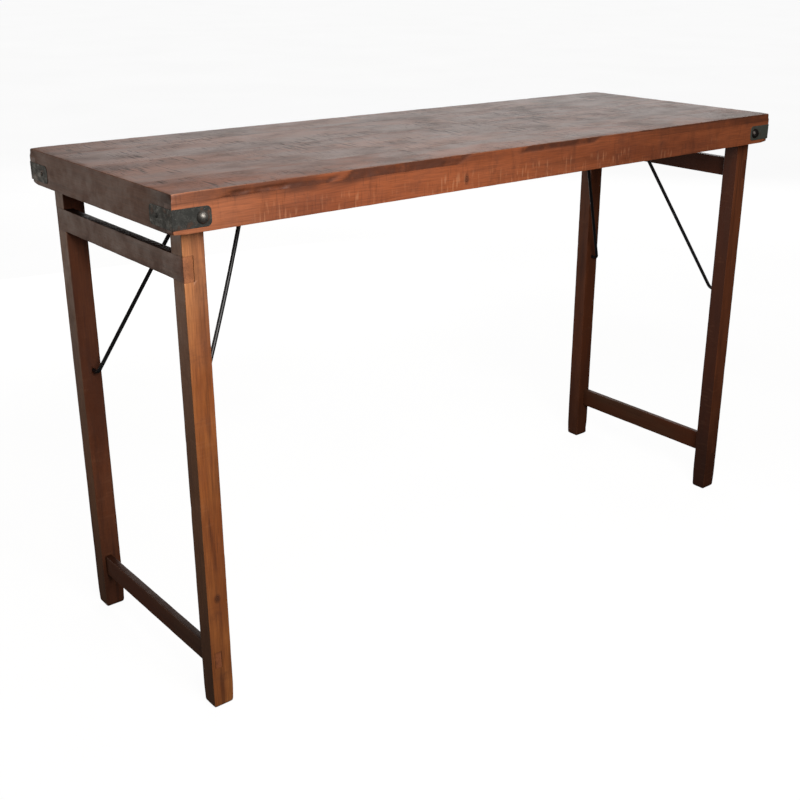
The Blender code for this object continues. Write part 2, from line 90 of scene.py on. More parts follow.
# Widest eased edges of a CAD board and of a CAD leg, and the length of a leg's round top
EASED = 0.0016
LEG_EASED = 0.0021
LEG_CROWN = 0.05
# Edges with less rounding than this stay sharp where timbers meet, and their faces are let out to meet
TIGHT = 0.0001
SEAM_EASE = 0.0003
SEAM_CLOSE = 0.0004
JOINT_CLOSE = 0.0003
# Distances from a seam, a lower or upper edge, a corner or a joint between which a rounding changes
BOARD_SEAM_FADE = (0.002, 0.020)
BOARD_BASE_FADE = (0.003, 0.009)
BOARD_TOP_FADE = 0.004
BOARD_CORNER_FADE = (0.008, 0.030)
APRON_CORNER_FADE = (0.006, 0.026)
APRON_BASE_FADE = (0.008, 0.020)
RAIL_JOINT_FADE = 0.004
RAIL_END_FADE = (0.005, 0.002)
# Waves per metre of the wear along an edge, of the chips in it, of dents and of hammer marks, and how
# much wear and chips add to a rounding, chips only above a level
WEAR_WAVES, CHIP_WAVES, DENT_WAVES, HAMMER_WAVES = 28.0, 75.0, 42.0, 90.0
WEAR_SHARE, CHIP_SHARE, CHIP_LEVEL = 0.35, 2.2, 0.42
# Roundings between which an edge goes from sound to worn, and parts of a face's direction between
# which it counts as facing up or as end grain, or above which it faces along an axis
WORN_FADE = (0.0006, 0.002)
UPWARD_FADE = (0.55, 0.9)
END_GRAIN_FADE = (0.7, 0.95)
FACING = 0.6
# How far up a foot is worn, and the share of its rounding that its sides have
FOOT_HEIGHT = 0.05
FOOT_SIDES = 0.6
# Distances between the cuts in a timber's faces along X, Y and Z, and shares of its rounding for the
# cuts near its edges
CUTS = {
    "front board": (0.006, 0.012, 0.003),
    "board": (0.012, 0.012, 0.003),
    "long apron": (0.010, 0.009, 0.004),
    "end apron": (0.009, 0.010, 0.004),
    "leg": (0.009, 0.009, 0.012),
    "rail": (0.008, 0.011, 0.009),
    "batten": (0.010, 0.012, 0.008),
}
EDGE_CUTS = (0.12, 0.35, 0.65, 1.0)
METAL_CUT = 0.006
STRAP_CUT = 0.005
ROD_STEP = 0.02

# Radius of a pin and rim of its head, share of a nail's head that is seen, and a bolt's thread
NAIL_RADIUS, NAIL_RIM, NAIL_HEAD = 0.0019, 0.0003, 0.5
BOLT_RADIUS, BOLT_RIM = 0.0049, 0.0015
THREAD_LENGTH, THREAD_PITCH = 0.014, 0.0012
# How far a bolt's head stays inside the CAD head
HEAD_GAP = 0.0001

# Torn stretches of the front board's edge, stained and darkened with painted shadow where the edge
# is eaten back: start, end, depth, and the shares of the board's thickness from its top between
# which they lie
WANE_STRETCHES = (
    (-0.742, -0.606, 0.0045, 0.40, 1.20),
    (-0.645, -0.500, 0.0015, 0.30, 1.20),
    (-0.500, -0.193, 0.0022, -0.25, 1.20),
    (-0.045, 0.203, 0.0026, -0.25, 0.82),
    (0.330, 0.830, 0.0006, -0.25, 0.34),
)
WANE_FADE = 0.016
# How deep the stain with painted shade goes into the board, and the dirt with painted shade under it
# down the apron, where it is thin and where thick
WANE_DEEP = (0.002, 0.012)
SEAM_DIRT_AND_SHADE = (0.007, 0.017)
# Distances from the table's middle between which the stain of the left and of the right part sets in
# and leaves the upper edge on the left, and places along X between which it grows at the left corner
STAIN_LEFT = (0.42, 0.55)
STAIN_RIGHT = (0.25, 0.45)
STAIN_ARRIS = (0.66, 0.74)
STAIN_CORNER = (-0.85, -0.76)
# The same for the dirt and painted shade under the board, and places where its thick part sets in and
# distances where that ends
DIRT_AND_SHADE_LEFT = (0.34, 0.48)
DIRT_AND_SHADE_RIGHT = (0.50, 0.65)
DIRT_AND_SHADE_THICK = ((-0.70, -0.62), (0.42, 0.50))
# Where the bow of the left stay sets in, towards the front
BOW_FADE = (-0.15, 0.05)
# Knots: places along and up the front apron, and from the front left leg's side and up it, with sizes
APRON_KNOT, APRON_KNOT_SIZE = (-0.190, 1.010), (0.009, 0.02, 0.016)
LEG_KNOT, LEG_KNOT_SIZE = (0.022, 0.2506), (0.010, 0.02, 0.014)


def screen(red, green, blue):
    """A colour picked on screen, in 0 to 255, as linear light."""
    return tuple(((part / 255 + 0.055) / 1.055) ** 2.4 for part in (red, green, blue))


# Dark tone: painted shade on the legs' lower ends and on rails, and a darkening at the left end's front
# corner
DARKENING_TONE = screen(34, 20, 15)
# Shares of red in the left ends of the front boards, by their numbers, partly the wood's tone and partly
# painted in place of the weaker sheen there
WARMTH = {1: 0.20, 2: 0.08}
# Where timbers are painted lighter (painted light on the front left leg's top and the aprons' left ends),
# are darker (painted shade towards the feet, darkening towards the left end's front corner) or are
# redder: an axis, two places along it and, for some, the shares there
LEG_PAINTED_LIGHT = (Z, 0.68, 0.88, 0.0, 0.21)
APRON_PAINTED_LIGHT = (X, -0.85, -0.50, 0.14, 0.0)
CORNER_DARKENING = (Y, -0.30, -0.18, 0.75, 0.0)
FOOT_SHADE = (Z, 0.05, 0.35)
BOARD_WARM = (X, -0.85, -0.20)
# Half the height over which the front apron's pale scratches end
SCRATCH_FADE = 0.008


def size_value(name, description, default):
    """A length that a user may change."""
    return FloatProperty(name=name, description=description, default=default, min=0.0,
                         precision=5, unit="LENGTH")


def place_value(name, description, default):
    """A place that a user may change."""
    return FloatVectorProperty(name=name, description=description, default=default, subtype="XYZ",
                               unit="LENGTH")


def power_value(name, description, default):
    """A light's power, in watts, that a user may change."""
    return FloatProperty(name=name, description=description, default=default, unit="POWER")


def colour_value(name, description, *shown):
    """A colour that a user may change, picked on screen."""
    return FloatVectorProperty(name=name, description=description, default=screen(*shown), size=3,
                               min=0.0, max=1.0, subtype="COLOR")


class TableTimber(bpy.types.PropertyGroup):
    """Wear and colours of the wooden pieces."""
    top_rounding: size_value("Top edge rounding", "Rounding of the table's outer edges", 0.0022)
    corner_rounding: size_value("Corner rounding", "Rounding of the table's corners", 0.0045)
    apron_rounding: size_value("Apron rounding", "Rounding of the aprons' edges", 0.0005)
    leg_rounding: size_value("Leg rounding", "Rounding of the legs' long edges", 0.0015)
    foot_rounding: size_value("Foot rounding", "Rounding of the legs' feet", 0.0085)
    leg_corner: size_value("Leg corner", "Rounding of the rails' ends, as of the legs' corners", 0.0020)
    rail_rounding: size_value("Rail rounding", "Rounding of rails, stretchers and battens", 0.0014)
    dents: size_value("Dents", "Depth of the dents in a wooden face", 0.0005)
    board_brown: colour_value("Board brown", "Warm tone of the top", 138, 98, 80)
    board_red: colour_value("Board red", "Warm tone of the front board", 136, 88, 66)
    board_grey: colour_value("Board grey", "Weathered tone of the top", 126, 104, 96)
    board_dark: colour_value("Board dark", "Saw marks and stains of the top", 58, 37, 29)
    apron_orange: colour_value("Apron orange", "Light tone of the long aprons", 151, 83, 50)
    apron_red: colour_value("Apron red", "Deep tone of the long aprons", 120, 63, 38)
    leg_orange: colour_value("Leg orange", "Light tone of the front left leg", 178, 112, 59)
    leg_brown: colour_value("Leg brown", "Deep tone of the front left leg", 135, 74, 36)
    end_brown: colour_value("End brown", "Tone of the end aprons and rails", 110, 73, 54)
    end_red: colour_value("End red", "Deep tone of the end aprons and rails", 100, 61, 45)
    rail_dark: colour_value("Rail dark", "Light tone of the stretchers", 84, 58, 42)
    leg_dark: colour_value("Leg dark", "Light tone of the darker legs", 112, 63, 38)
    leg_red: colour_value("Leg red", "Deep tone of the darker legs", 88, 46, 26)
    leg_side: colour_value("Leg side", "Light tone of the left legs' sides", 128, 86, 58)
    leg_grey: colour_value("Leg grey", "Deep tone of the left legs' sides", 116, 78, 52)
    leg_shade: colour_value("Leg shade", "Tone of the front right leg's sides", 76, 39, 24)
    rail_end: colour_value("Rail end", "Tone of the left rails' ends", 150, 91, 59)
    rough_brown: colour_value("Rough brown", "Tone of the battens under the top", 150, 112, 80)
    dark_grain: colour_value("Dark grain", "Streaks and knots", 62, 34, 24)
    bare_wood: colour_value("Bare wood", "Worn edges and pale scratches", 206, 150, 112)


class TableIron(bpy.types.PropertyGroup):
    """Colours and sizes of the metal pieces."""
    plate_dark: colour_value("Plate dark", "Ground colour of the left straps", 46, 47, 45)
    plate_pale: colour_value("Plate pale", "Ground colour of the right straps", 88, 92, 84)
    plate_scuffed: colour_value("Plate scuffed", "Rubbed patches of the straps", 122, 123, 118)
    rust: colour_value("Rust", "Rust in the hollows", 92, 58, 40)
    bolt_bright: colour_value("Bolt bright", "Worn crown of the bolts", 112, 110, 106)
    bolt_dark: colour_value("Bolt dark", "Grime round the bolts", 46, 42, 40)
    rod_black: colour_value("Rod black", "Paint of the stays", 26, 26, 28)
    rod_worn: colour_value("Rod worn", "Rubbed spots of the stays", 92, 90, 88)
    stay_bend: size_value("Stay bend", "Bend radius of the stays", 0.014)
    stay_stub: size_value("Stay stub", "Straight end of a stay inside its leg", 0.006)
    stay_bow: size_value("Stay bow", "How far the left stay's front side is bent", 0.006)
    stay_bar: size_value("Stay bar", "Length of a stay's upper bar", 0.170)
    strap_proud: FloatProperty(name="Strap proud", description="Share of a strap that stands out",
                               default=0.4, min=0.1, max=1.0)
    hammering: size_value("Hammering", "Depth of the hammer marks", 0.0004)


class TableStage(bpy.types.PropertyGroup):
    """Camera, light and floor."""
    camera_place: place_value("Camera place", "Where the camera stands",
                              (-1.72469641, -2.00886194, 1.43827152))
    camera_turn: FloatVectorProperty(name="Camera turn", description="How the camera is turned",
                                     default=tuple(math.radians(angle) for angle in
                                                   (69.09187166, -0.49435863, -40.21842182)),
                                     subtype="EULER", unit="ROTATION")
    lens: FloatProperty(name="Lens", description="Focal length in millimetres", default=51.0105)
    shift: FloatVectorProperty(name="Shift", description="Lens shift to the side and up",
                               default=(-0.04345, -0.01801), size=2)
    floor_radius: size_value("Floor radius", "Half width of the floor", 80.0)
    floor_colour: colour_value("Floor colour", "Pale floor", 250, 250, 250)
    key_place: place_value("Key place", "Where the main light stands", (-0.85, -1.75, 1.85))
    key_size: size_value("Key size", "Width of the main light", 1.4)
    key_power: power_value("Key power", "Main light in watts", 60.0)
    back_place: place_value("Back place", "Where the back light stands", (3.8, 3.5, 1.9))
    back_size: size_value("Back size", "Width of the back light", 6.6)
    back_height: size_value("Back height", "Height of the back light", 2.2)
    back_power: power_value("Back power", "Back light in watts", 142.0)
    side_place: place_value("Side place", "Where the side light stands", (-2.4, 2.1, 0.85))
    side_size: size_value("Side size", "Width of the side light", 1.6)
    side_power: power_value("Side power", "Side light in watts", 18.0)
    fill_place: place_value("Fill place", "Where the low light behind stands", (0.6, 3.1, 0.5))
    fill_size: size_value("Fill size", "Width of the low light behind", 1.8)
    fill_power: power_value("Fill power", "Low light behind in watts", 40.0)
    air_colour: colour_value("Air colour", "Soft light from all round", 218, 212, 208)
    air_strength: FloatProperty(name="Air strength", description="Strength of the soft light",
                                default=0.14)


def clamp(value, low, high):
    """A value kept between two limits."""
    return max(low, min(high, value))


def ease(value, low, high):
    """How far a value has gone from low to high, from 0 to 1, with soft ends."""
    share = clamp((value - low) / (high - low), 0.0, 1.0)
    return share * share * (3.0 - 2.0 * share)


def rough(point, fineness, seed):
    """Smooth unevenness from -1 to 1 at a point, with a number of waves per metre."""
    return noise.noise(Vector(point) * fineness + Vector((seed, 1.7 * seed, -0.9 * seed)))


def blank(node):
    """A CAD node's shape with whole flat faces, to be worked on."""
    shape = bmesh.new()
    shape.from_mesh(frame["nodes"][node].data)
    bmesh.ops.remove_doubles(shape, verts=shape.verts, dist=WELD)
    bmesh.ops.dissolve_limit(shape, angle_limit=FLAT_ANGLE, verts=shape.verts, edges=shape.edges)
    return shape


def reach_of(shape):
    """A shape's lowest and highest corners."""
    places = [[vert.co[axis] for vert in shape.verts] for axis in range(3)]
    return Vector([min(place) for place in places]), Vector([max(place) for place in places])


def squared(shape, eased, axes=(X, Y, Z), below=math.inf):
    """Bring a block's eased edges back to full corners, below a height, so that its joints close."""
    low, high = reach_of(shape)
    for vert in shape.verts:
        for axis in axes if vert.co.z < below else ():
            if vert.co[axis] - low[axis] < eased:
                vert.co[axis] = low[axis]
            elif high[axis] - vert.co[axis] < eased:
                vert.co[axis] = high[axis]
    bmesh.ops.remove_doubles(shape, verts=shape.verts, dist=WELD)
    bmesh.ops.dissolve_degenerate(shape, dist=WELD, edges=shape.edges)
    return shape


def let_out(shape, axis, level, move):
    """Move the face of a shape that lies at a level, to close the joint beside it."""
    for vert in shape.verts:
        if abs(vert.co[axis] - level) < WELD:
            vert.co[axis] += move


def slice_up(shape, steps, edge):
    """Cut a shape's faces evenly along each axis, and closer together near its edges."""
    low, high = reach_of(shape)
    for axis in sorted(range(3), key=lambda number: low[number] - high[number]):
        span = high[axis] - low[axis]
        near = [min(edge * share, 0.45 * span) for share in EDGE_CUTS]
        count = max(1, round((span - 2 * near[-1]) / steps[axis]))
        inner = [near[-1] + (span - 2 * near[-1]) * number / count for number in range(1, count)]
        places = near + inner + [span - gap for gap in reversed(near)]
        across = Vector([float(number == axis) for number in range(3)])
        for place in places:
            bmesh.ops.bisect_plane(shape, geom=shape.verts[:] + shape.edges[:] + shape.faces[:],
                                   dist=WELD, plane_co=across * (low[axis] + place), plane_no=across)


def weather(shape, seed, grain, rounding, dents, torn=None):
    """Round a timber's edges and dent its faces, always inwards, and note where it is worn.

    The rounding gives a radius for each axis at a point, and torn gives a stain with painted shade
    and a bite there.
    """
    low, high = reach_of(shape)
    marks = shape.verts.layers.float_color.new(MARKS)
    for vert in shape.verts:
        at = vert.co.copy()
        stain_and_shade, bite = torn(at) if torn else (0.0, Vector())
        chips = max(0.0, rough(at, CHIP_WAVES, seed + 5.0) - CHIP_LEVEL)
        wear = 1.0 + WEAR_SHARE * rough(at, WEAR_WAVES, seed) + CHIP_SHARE * chips
        radii = [radius * wear if radius > TIGHT else 0.0 for radius in rounding(at)]
        core = Vector([clamp(at[axis], low[axis] + radii[axis], high[axis] - radii[axis])
                       for axis in range(3)])
        share = Vector([(at[axis] - core[axis]) / radii[axis] if radii[axis] else 0.0 for axis in range(3)])
        worn = sorted(abs(part) for part in share)[1] * ease(max(radii), *WORN_FADE)
        if share.length > 1.0:
            share.normalize()
        reach = Vector([share[axis] * radii[axis] for axis in range(3)])
        if reach.length > 0.0:
            depth = dents * (0.5 + 0.5 * rough(at, DENT_WAVES, seed + 9.0))
            reach *= max(0.0, 1.0 - depth / reach.length)
        vert.co = core + reach + bite
        vert[marks] = (worn, 0.0, stain_and_shade, 0.0)
    shape.normal_update()
    for vert in shape.verts:
        worn, _, stain_and_shade, _ = vert[marks]
        upward = ease(vert.normal.z, *UPWARD_FADE)
        end_grain = 0.0 if grain is None else ease(abs(vert.normal[grain]), *END_GRAIN_FADE)
        vert[marks] = (worn, upward, stain_and_shade, end_grain)


def dress(shape, node, suffix, slot, *finishes):
    """Show a shape in place of a CAD node, on the node's own body."""
    mesh = bpy.data.meshes.new(f"{node}_{suffix}")
    shape.to_mesh(mesh)
    shape.free()
    for finish in finishes:
        mesh.materials.append(finish)
    mesh.shade_smooth()
    mesh.set_sharp_from_angle(angle=SHARP_ANGLE)
    show(bpy.data.objects.new(f"{node}_{suffix}", mesh), node)


def show(piece, node):
    """Put a finished piece in the scene in place of a CAD node."""
    bpy.context.scene.collection.objects.link(piece)
    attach(piece, frame["nodes"][node]["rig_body"])
    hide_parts(node)


def waves_along(grain, lengthwise, across):
    """Waves per metre along a timber's grain and across it."""
    waves = [across] * 3
    waves[grain] = lengthwise
    return tuple(waves)


class Finish:
    """A procedural material in the making, with its colour and relief so far and ways to add to them."""

    def __init__(self, name, ground):
        self.material = bpy.data.materials.new(name)
        self.material.use_nodes = True
        self.tree = self.material.node_tree
        self.place = self.add("ShaderNodeTexCoord").outputs["Object"]
        self.colour, self.relief = ground, None

    def add(self, kind, inputs=None, **settings):
        """Add a node with its settings and its inputs by name or number."""
        node = self.tree.nodes.new(kind)
        for key, value in settings.items():
            setattr(node, key, value)
        for key, value in (inputs or {}).items():
            self.feed(node.inputs[key], value)
        return node

    def feed(self, socket, value):
        """Link a socket to an input, or set the input to a fixed value."""
        if isinstance(value, bpy.types.NodeSocket):
            self.tree.links.new(value, socket)
        elif socket.type == "RGBA":
            socket.default_value = (*value, 1.0)
        else:
            socket.default_value = value

    def noise(self, waves, seed, detail=3.0, roughness=0.55, distortion=0.0):
        """Noise with a number of waves per metre, or one for each axis."""
        waves = waves if isinstance(waves, tuple) else (waves,) * 3
        where = self.add("ShaderNodeVectorMath", {0: self.place, 1: waves}, operation="MULTIPLY")
        return self.add("ShaderNodeTexNoise", {
            "Vector": where.outputs[0], "W": seed, "Scale": 1.0, "Detail": detail,
            "Roughness": roughness, "Distortion": distortion}, noise_dimensions="4D").outputs[0]

    def ramp(self, value, low, high, start=0.0, end=1.0):
        """A value that eases from start to end while another goes from low to high."""
        return self.add("ShaderNodeMapRange", {"Value": value, "From Min": low, "From Max": high,
                                               "To Min": start, "To Max": end},
                        interpolation_type="SMOOTHSTEP").outputs[0]

    def run(self, axis, low, high, start, end):
        """A value that eases from start to end between two places along an axis."""
        parts = self.add("ShaderNodeSeparateXYZ", {0: self.place})
        return self.ramp(parts.outputs[axis], low, high, start, end)

    def math(self, operation, first, second):
        """The result of an operation on two values."""
        return self.add("ShaderNodeMath", {0: first, 1: second}, operation=operation).outputs[0]

    def times(self, first, second):
        """The product of two values."""
        return self.math("MULTIPLY", first, second)

    def cover(self, tone, share):
        """Lay a share of a tone over the colour so far."""
        mixed = self.add("ShaderNodeMix", {0: share, 6: self.colour, 7: tone}, data_type="RGBA")
        self.colour = mixed.outputs[2]

    def lay(self, tone, value, low, high, most=1.0):
        """Lay a tone over the colour, from none to most of it while a value goes from low to high."""
        self.cover(tone, self.ramp(value, low, high, 0.0, most))

    def bump(self, height, strength, distance):
        """Lay a fine relief from a height over the relief so far."""
        inputs = {"Height": height, "Strength": strength, "Distance": distance}
        if self.relief:
            inputs["Normal"] = self.relief
        self.relief = self.add("ShaderNodeBump", inputs).outputs[0]

    def done(self, roughness, metallic=0.0, gloss=0.5):
        """The material, with its colour, relief and shine fed to its shader."""
        inputs = {"Base Color": self.colour, "Normal": self.relief, "Roughness": roughness,
                  "Metallic": metallic, "Specular IOR Level": gloss}
        for key, value in inputs.items():
            self.feed(self.tree.nodes["Principled BSDF"].inputs[key], value)
        return self.material

    def marks(self):
        """A timber's point colours: worn edge, faces up, stain with painted shade, end grain."""
        marks = self.add("ShaderNodeAttribute", attribute_name=MARKS)
        parts = self.add("ShaderNodeSeparateColor", {0: marks.outputs["Color"]})
        return (*parts.outputs[:3], marks.outputs["Alpha"])

    def saw_ticks(self, grain, seed, fineness, length):
        """Patches of thin strokes across the grain."""
        stroke = self.noise(waves_along(grain, fineness, length), seed, detail=1.5)
        patch = self.noise(waves_along(grain, 7.0, 12.0), seed + 1.7, detail=3.0)
        return self.times(self.ramp(stroke, 0.57, 0.66), self.ramp(patch, 0.44, 0.58))

    def ring_spot(self, centre, size):
        """How near a place is to a spot, from 1 at its centre to 0, stretched by a size per axis."""
        gap = self.add("ShaderNodeVectorMath", {0: self.place, 1: centre}, operation="SUBTRACT")
        scale = tuple(1.0 / part for part in size)
        gap = self.add("ShaderNodeVectorMath", {0: gap.outputs[0], 1: scale}, operation="MULTIPLY")
        length = self.add("ShaderNodeVectorMath", {0: gap.outputs[0]}, operation="LENGTH")
        return self.math("SUBTRACT", 1.0, length.outputs["Value"])


def timber_finish(name, grain, seed, tones, look, saw=0.35, pale=0.25, streaks=0.6, ends=0.6, smudges=0.0,
                  rub=0.3, roughness=0.52, gloss=0.35, knots=(), scratched_below=None, darkening=None,
                  painted_light=None, painted_top_shade=0.0, relief=1.0):
    """Old timber: blotched tones, long streaks, fibre, saw marks, knots, worn edges, dark ends.

    Saw, pale, streaks, ends, smudges and rub are shares of these marks at their strongest; the top shade
    is the share of painted shadow on upward faces, and a paler run along an axis is painted light.
    """
    wood = Finish(name, tones[0])
    dark, bare = look.dark_grain, look.bare_wood
    worn, upward, stain_and_shade_mark, end_grain = wood.marks()
    blotch = wood.noise(waves_along(grain, 2.2, 9.0), seed, detail=4.0)
    streak = wood.noise(waves_along(grain, 3.0, 62.0), seed + 3.1, detail=5.0, distortion=0.5)
    fibre = wood.noise(waves_along(grain, 22.0, 620.0), seed + 5.7, detail=2.0)
    grime = wood.noise(24.0, seed + 8.3, detail=6.0, roughness=0.7)
    smudge = wood.noise(waves_along(grain, 26.0, 9.0), seed + 9.4, detail=4.0, roughness=0.6)
    tick = wood.saw_ticks(grain, seed + 11.0, 230.0, 22.0)
    scratch = wood.times(wood.saw_ticks(grain, seed + 17.0, 170.0, 26.0), pale)
    if scratched_below:
        scratch = wood.times(scratch, wood.run(Z, scratched_below - SCRATCH_FADE,
                                               scratched_below + SCRATCH_FADE, 1.0, 0.0))
    wood.lay(tones[1], blotch, 0.38, 0.62)
    # Painted light: a paler tone laid along an axis where the timber stands in brighter light
    if painted_light:
        wood.cover(bare, wood.run(*painted_light))
    wood.lay(dark, streak, 0.50, 0.72, streaks)
    wood.lay(dark, fibre, 0.30, 0.75, 0.40)
    wood.lay(dark, smudge, 0.50, 0.72, smudges)
    wood.cover(dark, wood.times(tick, saw))
    wood.cover(bare, scratch)
    for centre, size in knots:
        spot = wood.ring_spot(centre, size)
        ripple = wood.math("SINE", wood.times(spot, 22.0), 0.0)
        wood.cover(dark, wood.times(wood.ramp(spot, 0.0, 0.7), wood.ramp(ripple, -0.6, 1.0, 0.45, 1.0)))
    rubbed = wood.times(wood.ramp(worn, 0.45, 0.95), wood.ramp(grime, 0.40, 0.62, 0.2 * rub, rub))
    wood.cover(bare, wood.times(rubbed, wood.ramp(stain_and_shade_mark, 0.25, 0.60, 1.0, 0.0)))
    wood.lay(dark, grime, 0.54, 0.78, 0.55)
    # Stains, with painted shadow in the torn stretches and painted shade under the front board
    wood.cover(dark, wood.times(stain_and_shade_mark, wood.ramp(grime, 0.30, 0.55, 0.50, 0.85)))
    wood.cover(dark, wood.times(end_grain, wood.ramp(grime, 0.30, 0.60, 0.6 * ends, ends)))
    # Darker along an axis: painted shade towards the feet, and a darkening towards the left end's front
    # corner
    if darkening:
        wood.cover(DARKENING_TONE, wood.run(*darkening))
    # Painted shadow on faces that look up
    if painted_top_shade:
        wood.cover(DARKENING_TONE, wood.times(upward, painted_top_shade))
    wood.bump(fibre, 0.35 * relief, 0.0004)
    wood.bump(tick, saw, -0.0006)
    wood.bump(grime, 0.35 * relief, 0.0008)
    wood.bump(streak, 0.25 * relief, 0.0008)
    return wood.done(wood.ramp(grime, 0.30, 0.70, roughness - 0.08, roughness + 0.12), gloss=gloss)


def apron_finish(row, look):
    """Wood of a long apron, which the edge of the board above it shares."""
    name = f"{row}_apron_wood"
    low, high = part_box(f"{row}_apron")
    along, up = APRON_KNOT
    knots = [((along, low.y, up), APRON_KNOT_SIZE)] if row == "front" else []
    # Painted light: the long aprons turn paler towards their left ends
    return bpy.data.materials.get(name) or timber_finish(
        name, X, 31.0 + ROWS[row], (look.apron_orange, look.apron_red), look, saw=0.22, pale=0.22,
        streaks=0.30, ends=0.9, smudges=0.45, rub=0.45, roughness=0.5, knots=knots,
        scratched_below=low.z + 0.65 * (high.z - low.z), painted_light=APRON_PAINTED_LIGHT)


def end_finish(end, look):
    """Wood of an end apron, which the ends of the boards above it share."""
    name = f"{end}_end_wood"
    # The left end's wood darkens towards its front corner
    return bpy.data.materials.get(name) or timber_finish(
        name, Y, 41.0 + ENDS[end], (look.end_brown, look.end_red), look, saw=0.10, pale=0.0, streaks=0.35,
        rub=0.0, roughness=0.55, gloss=0.26, darkening=CORNER_DARKENING if end == "left" else None, relief=0.5)


def rough_finish(name, grain, seed, look, pale):
    """Sawn wood of the underside, which was never planed, in a pale tone that is partly painted light."""
    return timber_finish(name, grain, seed, (look.rough_brown, look.leg_brown), look, saw=0.6, pale=pale,
                         streaks=0.5, roughness=0.65)


def board_finish(name, seed, look, brown, warmth):
    """The boards' upper faces: brown and grey blotches under short dark saw marks across the grain."""
    wood = Finish(name, brown)
    dark, bare = look.board_dark, look.bare_wood
    worn = wood.marks()[0]
    blotch = wood.noise(waves_along(X, 5.0, 12.0), seed, detail=6.0, roughness=0.62)
    cloud = wood.noise(waves_along(X, 9.0, 15.0), seed + 1.3, detail=7.0, roughness=0.70)
    streak = wood.noise(waves_along(X, 3.0, 70.0), seed + 3.1, detail=6.0, roughness=0.62, distortion=0.6)
    fibre = wood.noise(waves_along(X, 26.0, 640.0), seed + 5.7, detail=2.0)
    grime = wood.noise(30.0, seed + 8.3, detail=6.0, roughness=0.7)
    tick = wood.saw_ticks(X, seed + 11.0, 210.0, 20.0)
    fine = wood.saw_ticks(X, seed + 15.0, 400.0, 34.0)
    # The left ends turn redder, partly the wood's tone and partly painted in place of the weaker sheen there
    left = wood.run(*BOARD_WARM, warmth, 0.0)
    wood.lay(look.board_grey, blotch, 0.40, 0.60)
    wood.lay(dark, cloud, 0.46, 0.72, 0.52)
    wood.lay(dark, streak, 0.52, 0.76, 0.28)
    wood.cover(bare, wood.ramp(streak, 0.28, 0.42, 0.14, 0.0))
    wood.cover(look.apron_red, left)
    wood.cover(dark, wood.times(tick, 0.95))
    wood.cover(dark, wood.times(fine, 0.60))
    wood.lay(dark, fibre, 0.30, 0.75, 0.30)
    wood.cover(bare, wood.times(wood.ramp(worn, 0.45, 0.95), wood.ramp(grime, 0.40, 0.62, 0.0, 0.3)))
    wood.lay(dark, grime, 0.56, 0.80, 0.45)
    wood.bump(fibre, 0.30, 0.0004)
    wood.bump(tick, 0.60, -0.0010)
    wood.bump(fine, 0.40, -0.0004)
    wood.bump(cloud, 0.25, 0.0012)
    return wood.done(wood.math("ADD", wood.ramp(cloud, 0.36, 0.66, 0.51, 0.60), wood.times(left, 0.6)))


def plate_finish(name, look, seed, ground, scuffed=0.5):
    """Old dark iron plate with rubbed patches, scratches and rust."""
    plate = Finish(name, ground)
    cloud = plate.noise(70.0, seed, detail=6.0, roughness=0.65)
    speck = plate.noise(420.0, seed + 2.0, detail=3.0)
    scratch = plate.noise((60.0, 60.0, 900.0), seed + 4.0, detail=2.0)
    rusty = plate.noise(38.0, seed + 6.0, detail=5.0, roughness=0.7)
    plate.lay(look.plate_scuffed, cloud, 0.44, 0.68, scuffed)
    plate.lay(look.plate_scuffed, speck, 0.60, 0.72, 0.6)
    plate.lay(look.plate_scuffed, scratch, 0.62, 0.74, 0.5)
    plate.lay(look.rust, rusty, 0.54, 0.70, 0.75)
    plate.bump(speck, 0.5, 0.0003)
    plate.bump(cloud, 0.6, 0.0010)
    return plate.done(plate.ramp(cloud, 0.35, 0.68, 0.68, 0.42), metallic=0.55)


def bolt_finish(name, look, seed, worn):
    """Steel that is bright where it is rubbed and dark with grime elsewhere."""
    steel = Finish(name, look.bolt_dark)
    cloud = steel.noise(160.0, seed, detail=5.0, roughness=0.65)
    pit = steel.noise(900.0, seed + 2.0, detail=2.0)
    steel.lay(look.bolt_bright, cloud, 0.62 - 0.3 * worn, 0.80 - 0.3 * worn)
    steel.lay(look.rust, pit, 0.58, 0.70, 0.7)
    steel.bump(pit, 0.4, 0.0002)
    steel.bump(cloud, 0.5, 0.0005)
    return steel.done(steel.ramp(cloud, 0.35, 0.7, 0.5, 0.26), metallic=0.85)


def rod_finish(name, look, seed):
    """Black paint on a bent rod, rubbed through in spots."""
    paint = Finish(name, look.rod_black)
    cloud = paint.noise(45.0, seed, detail=5.0, roughness=0.7)
    chip = paint.noise(260.0, seed + 2.0, detail=3.0)
    paint.cover(look.rod_worn, paint.times(paint.ramp(chip, 0.66, 0.74), paint.ramp(cloud, 0.48, 0.62)))
    paint.bump(cloud, 0.15, 0.0004)
    return paint.done(paint.ramp(cloud, 0.35, 0.65, 0.32, 0.42), metallic=0.3)


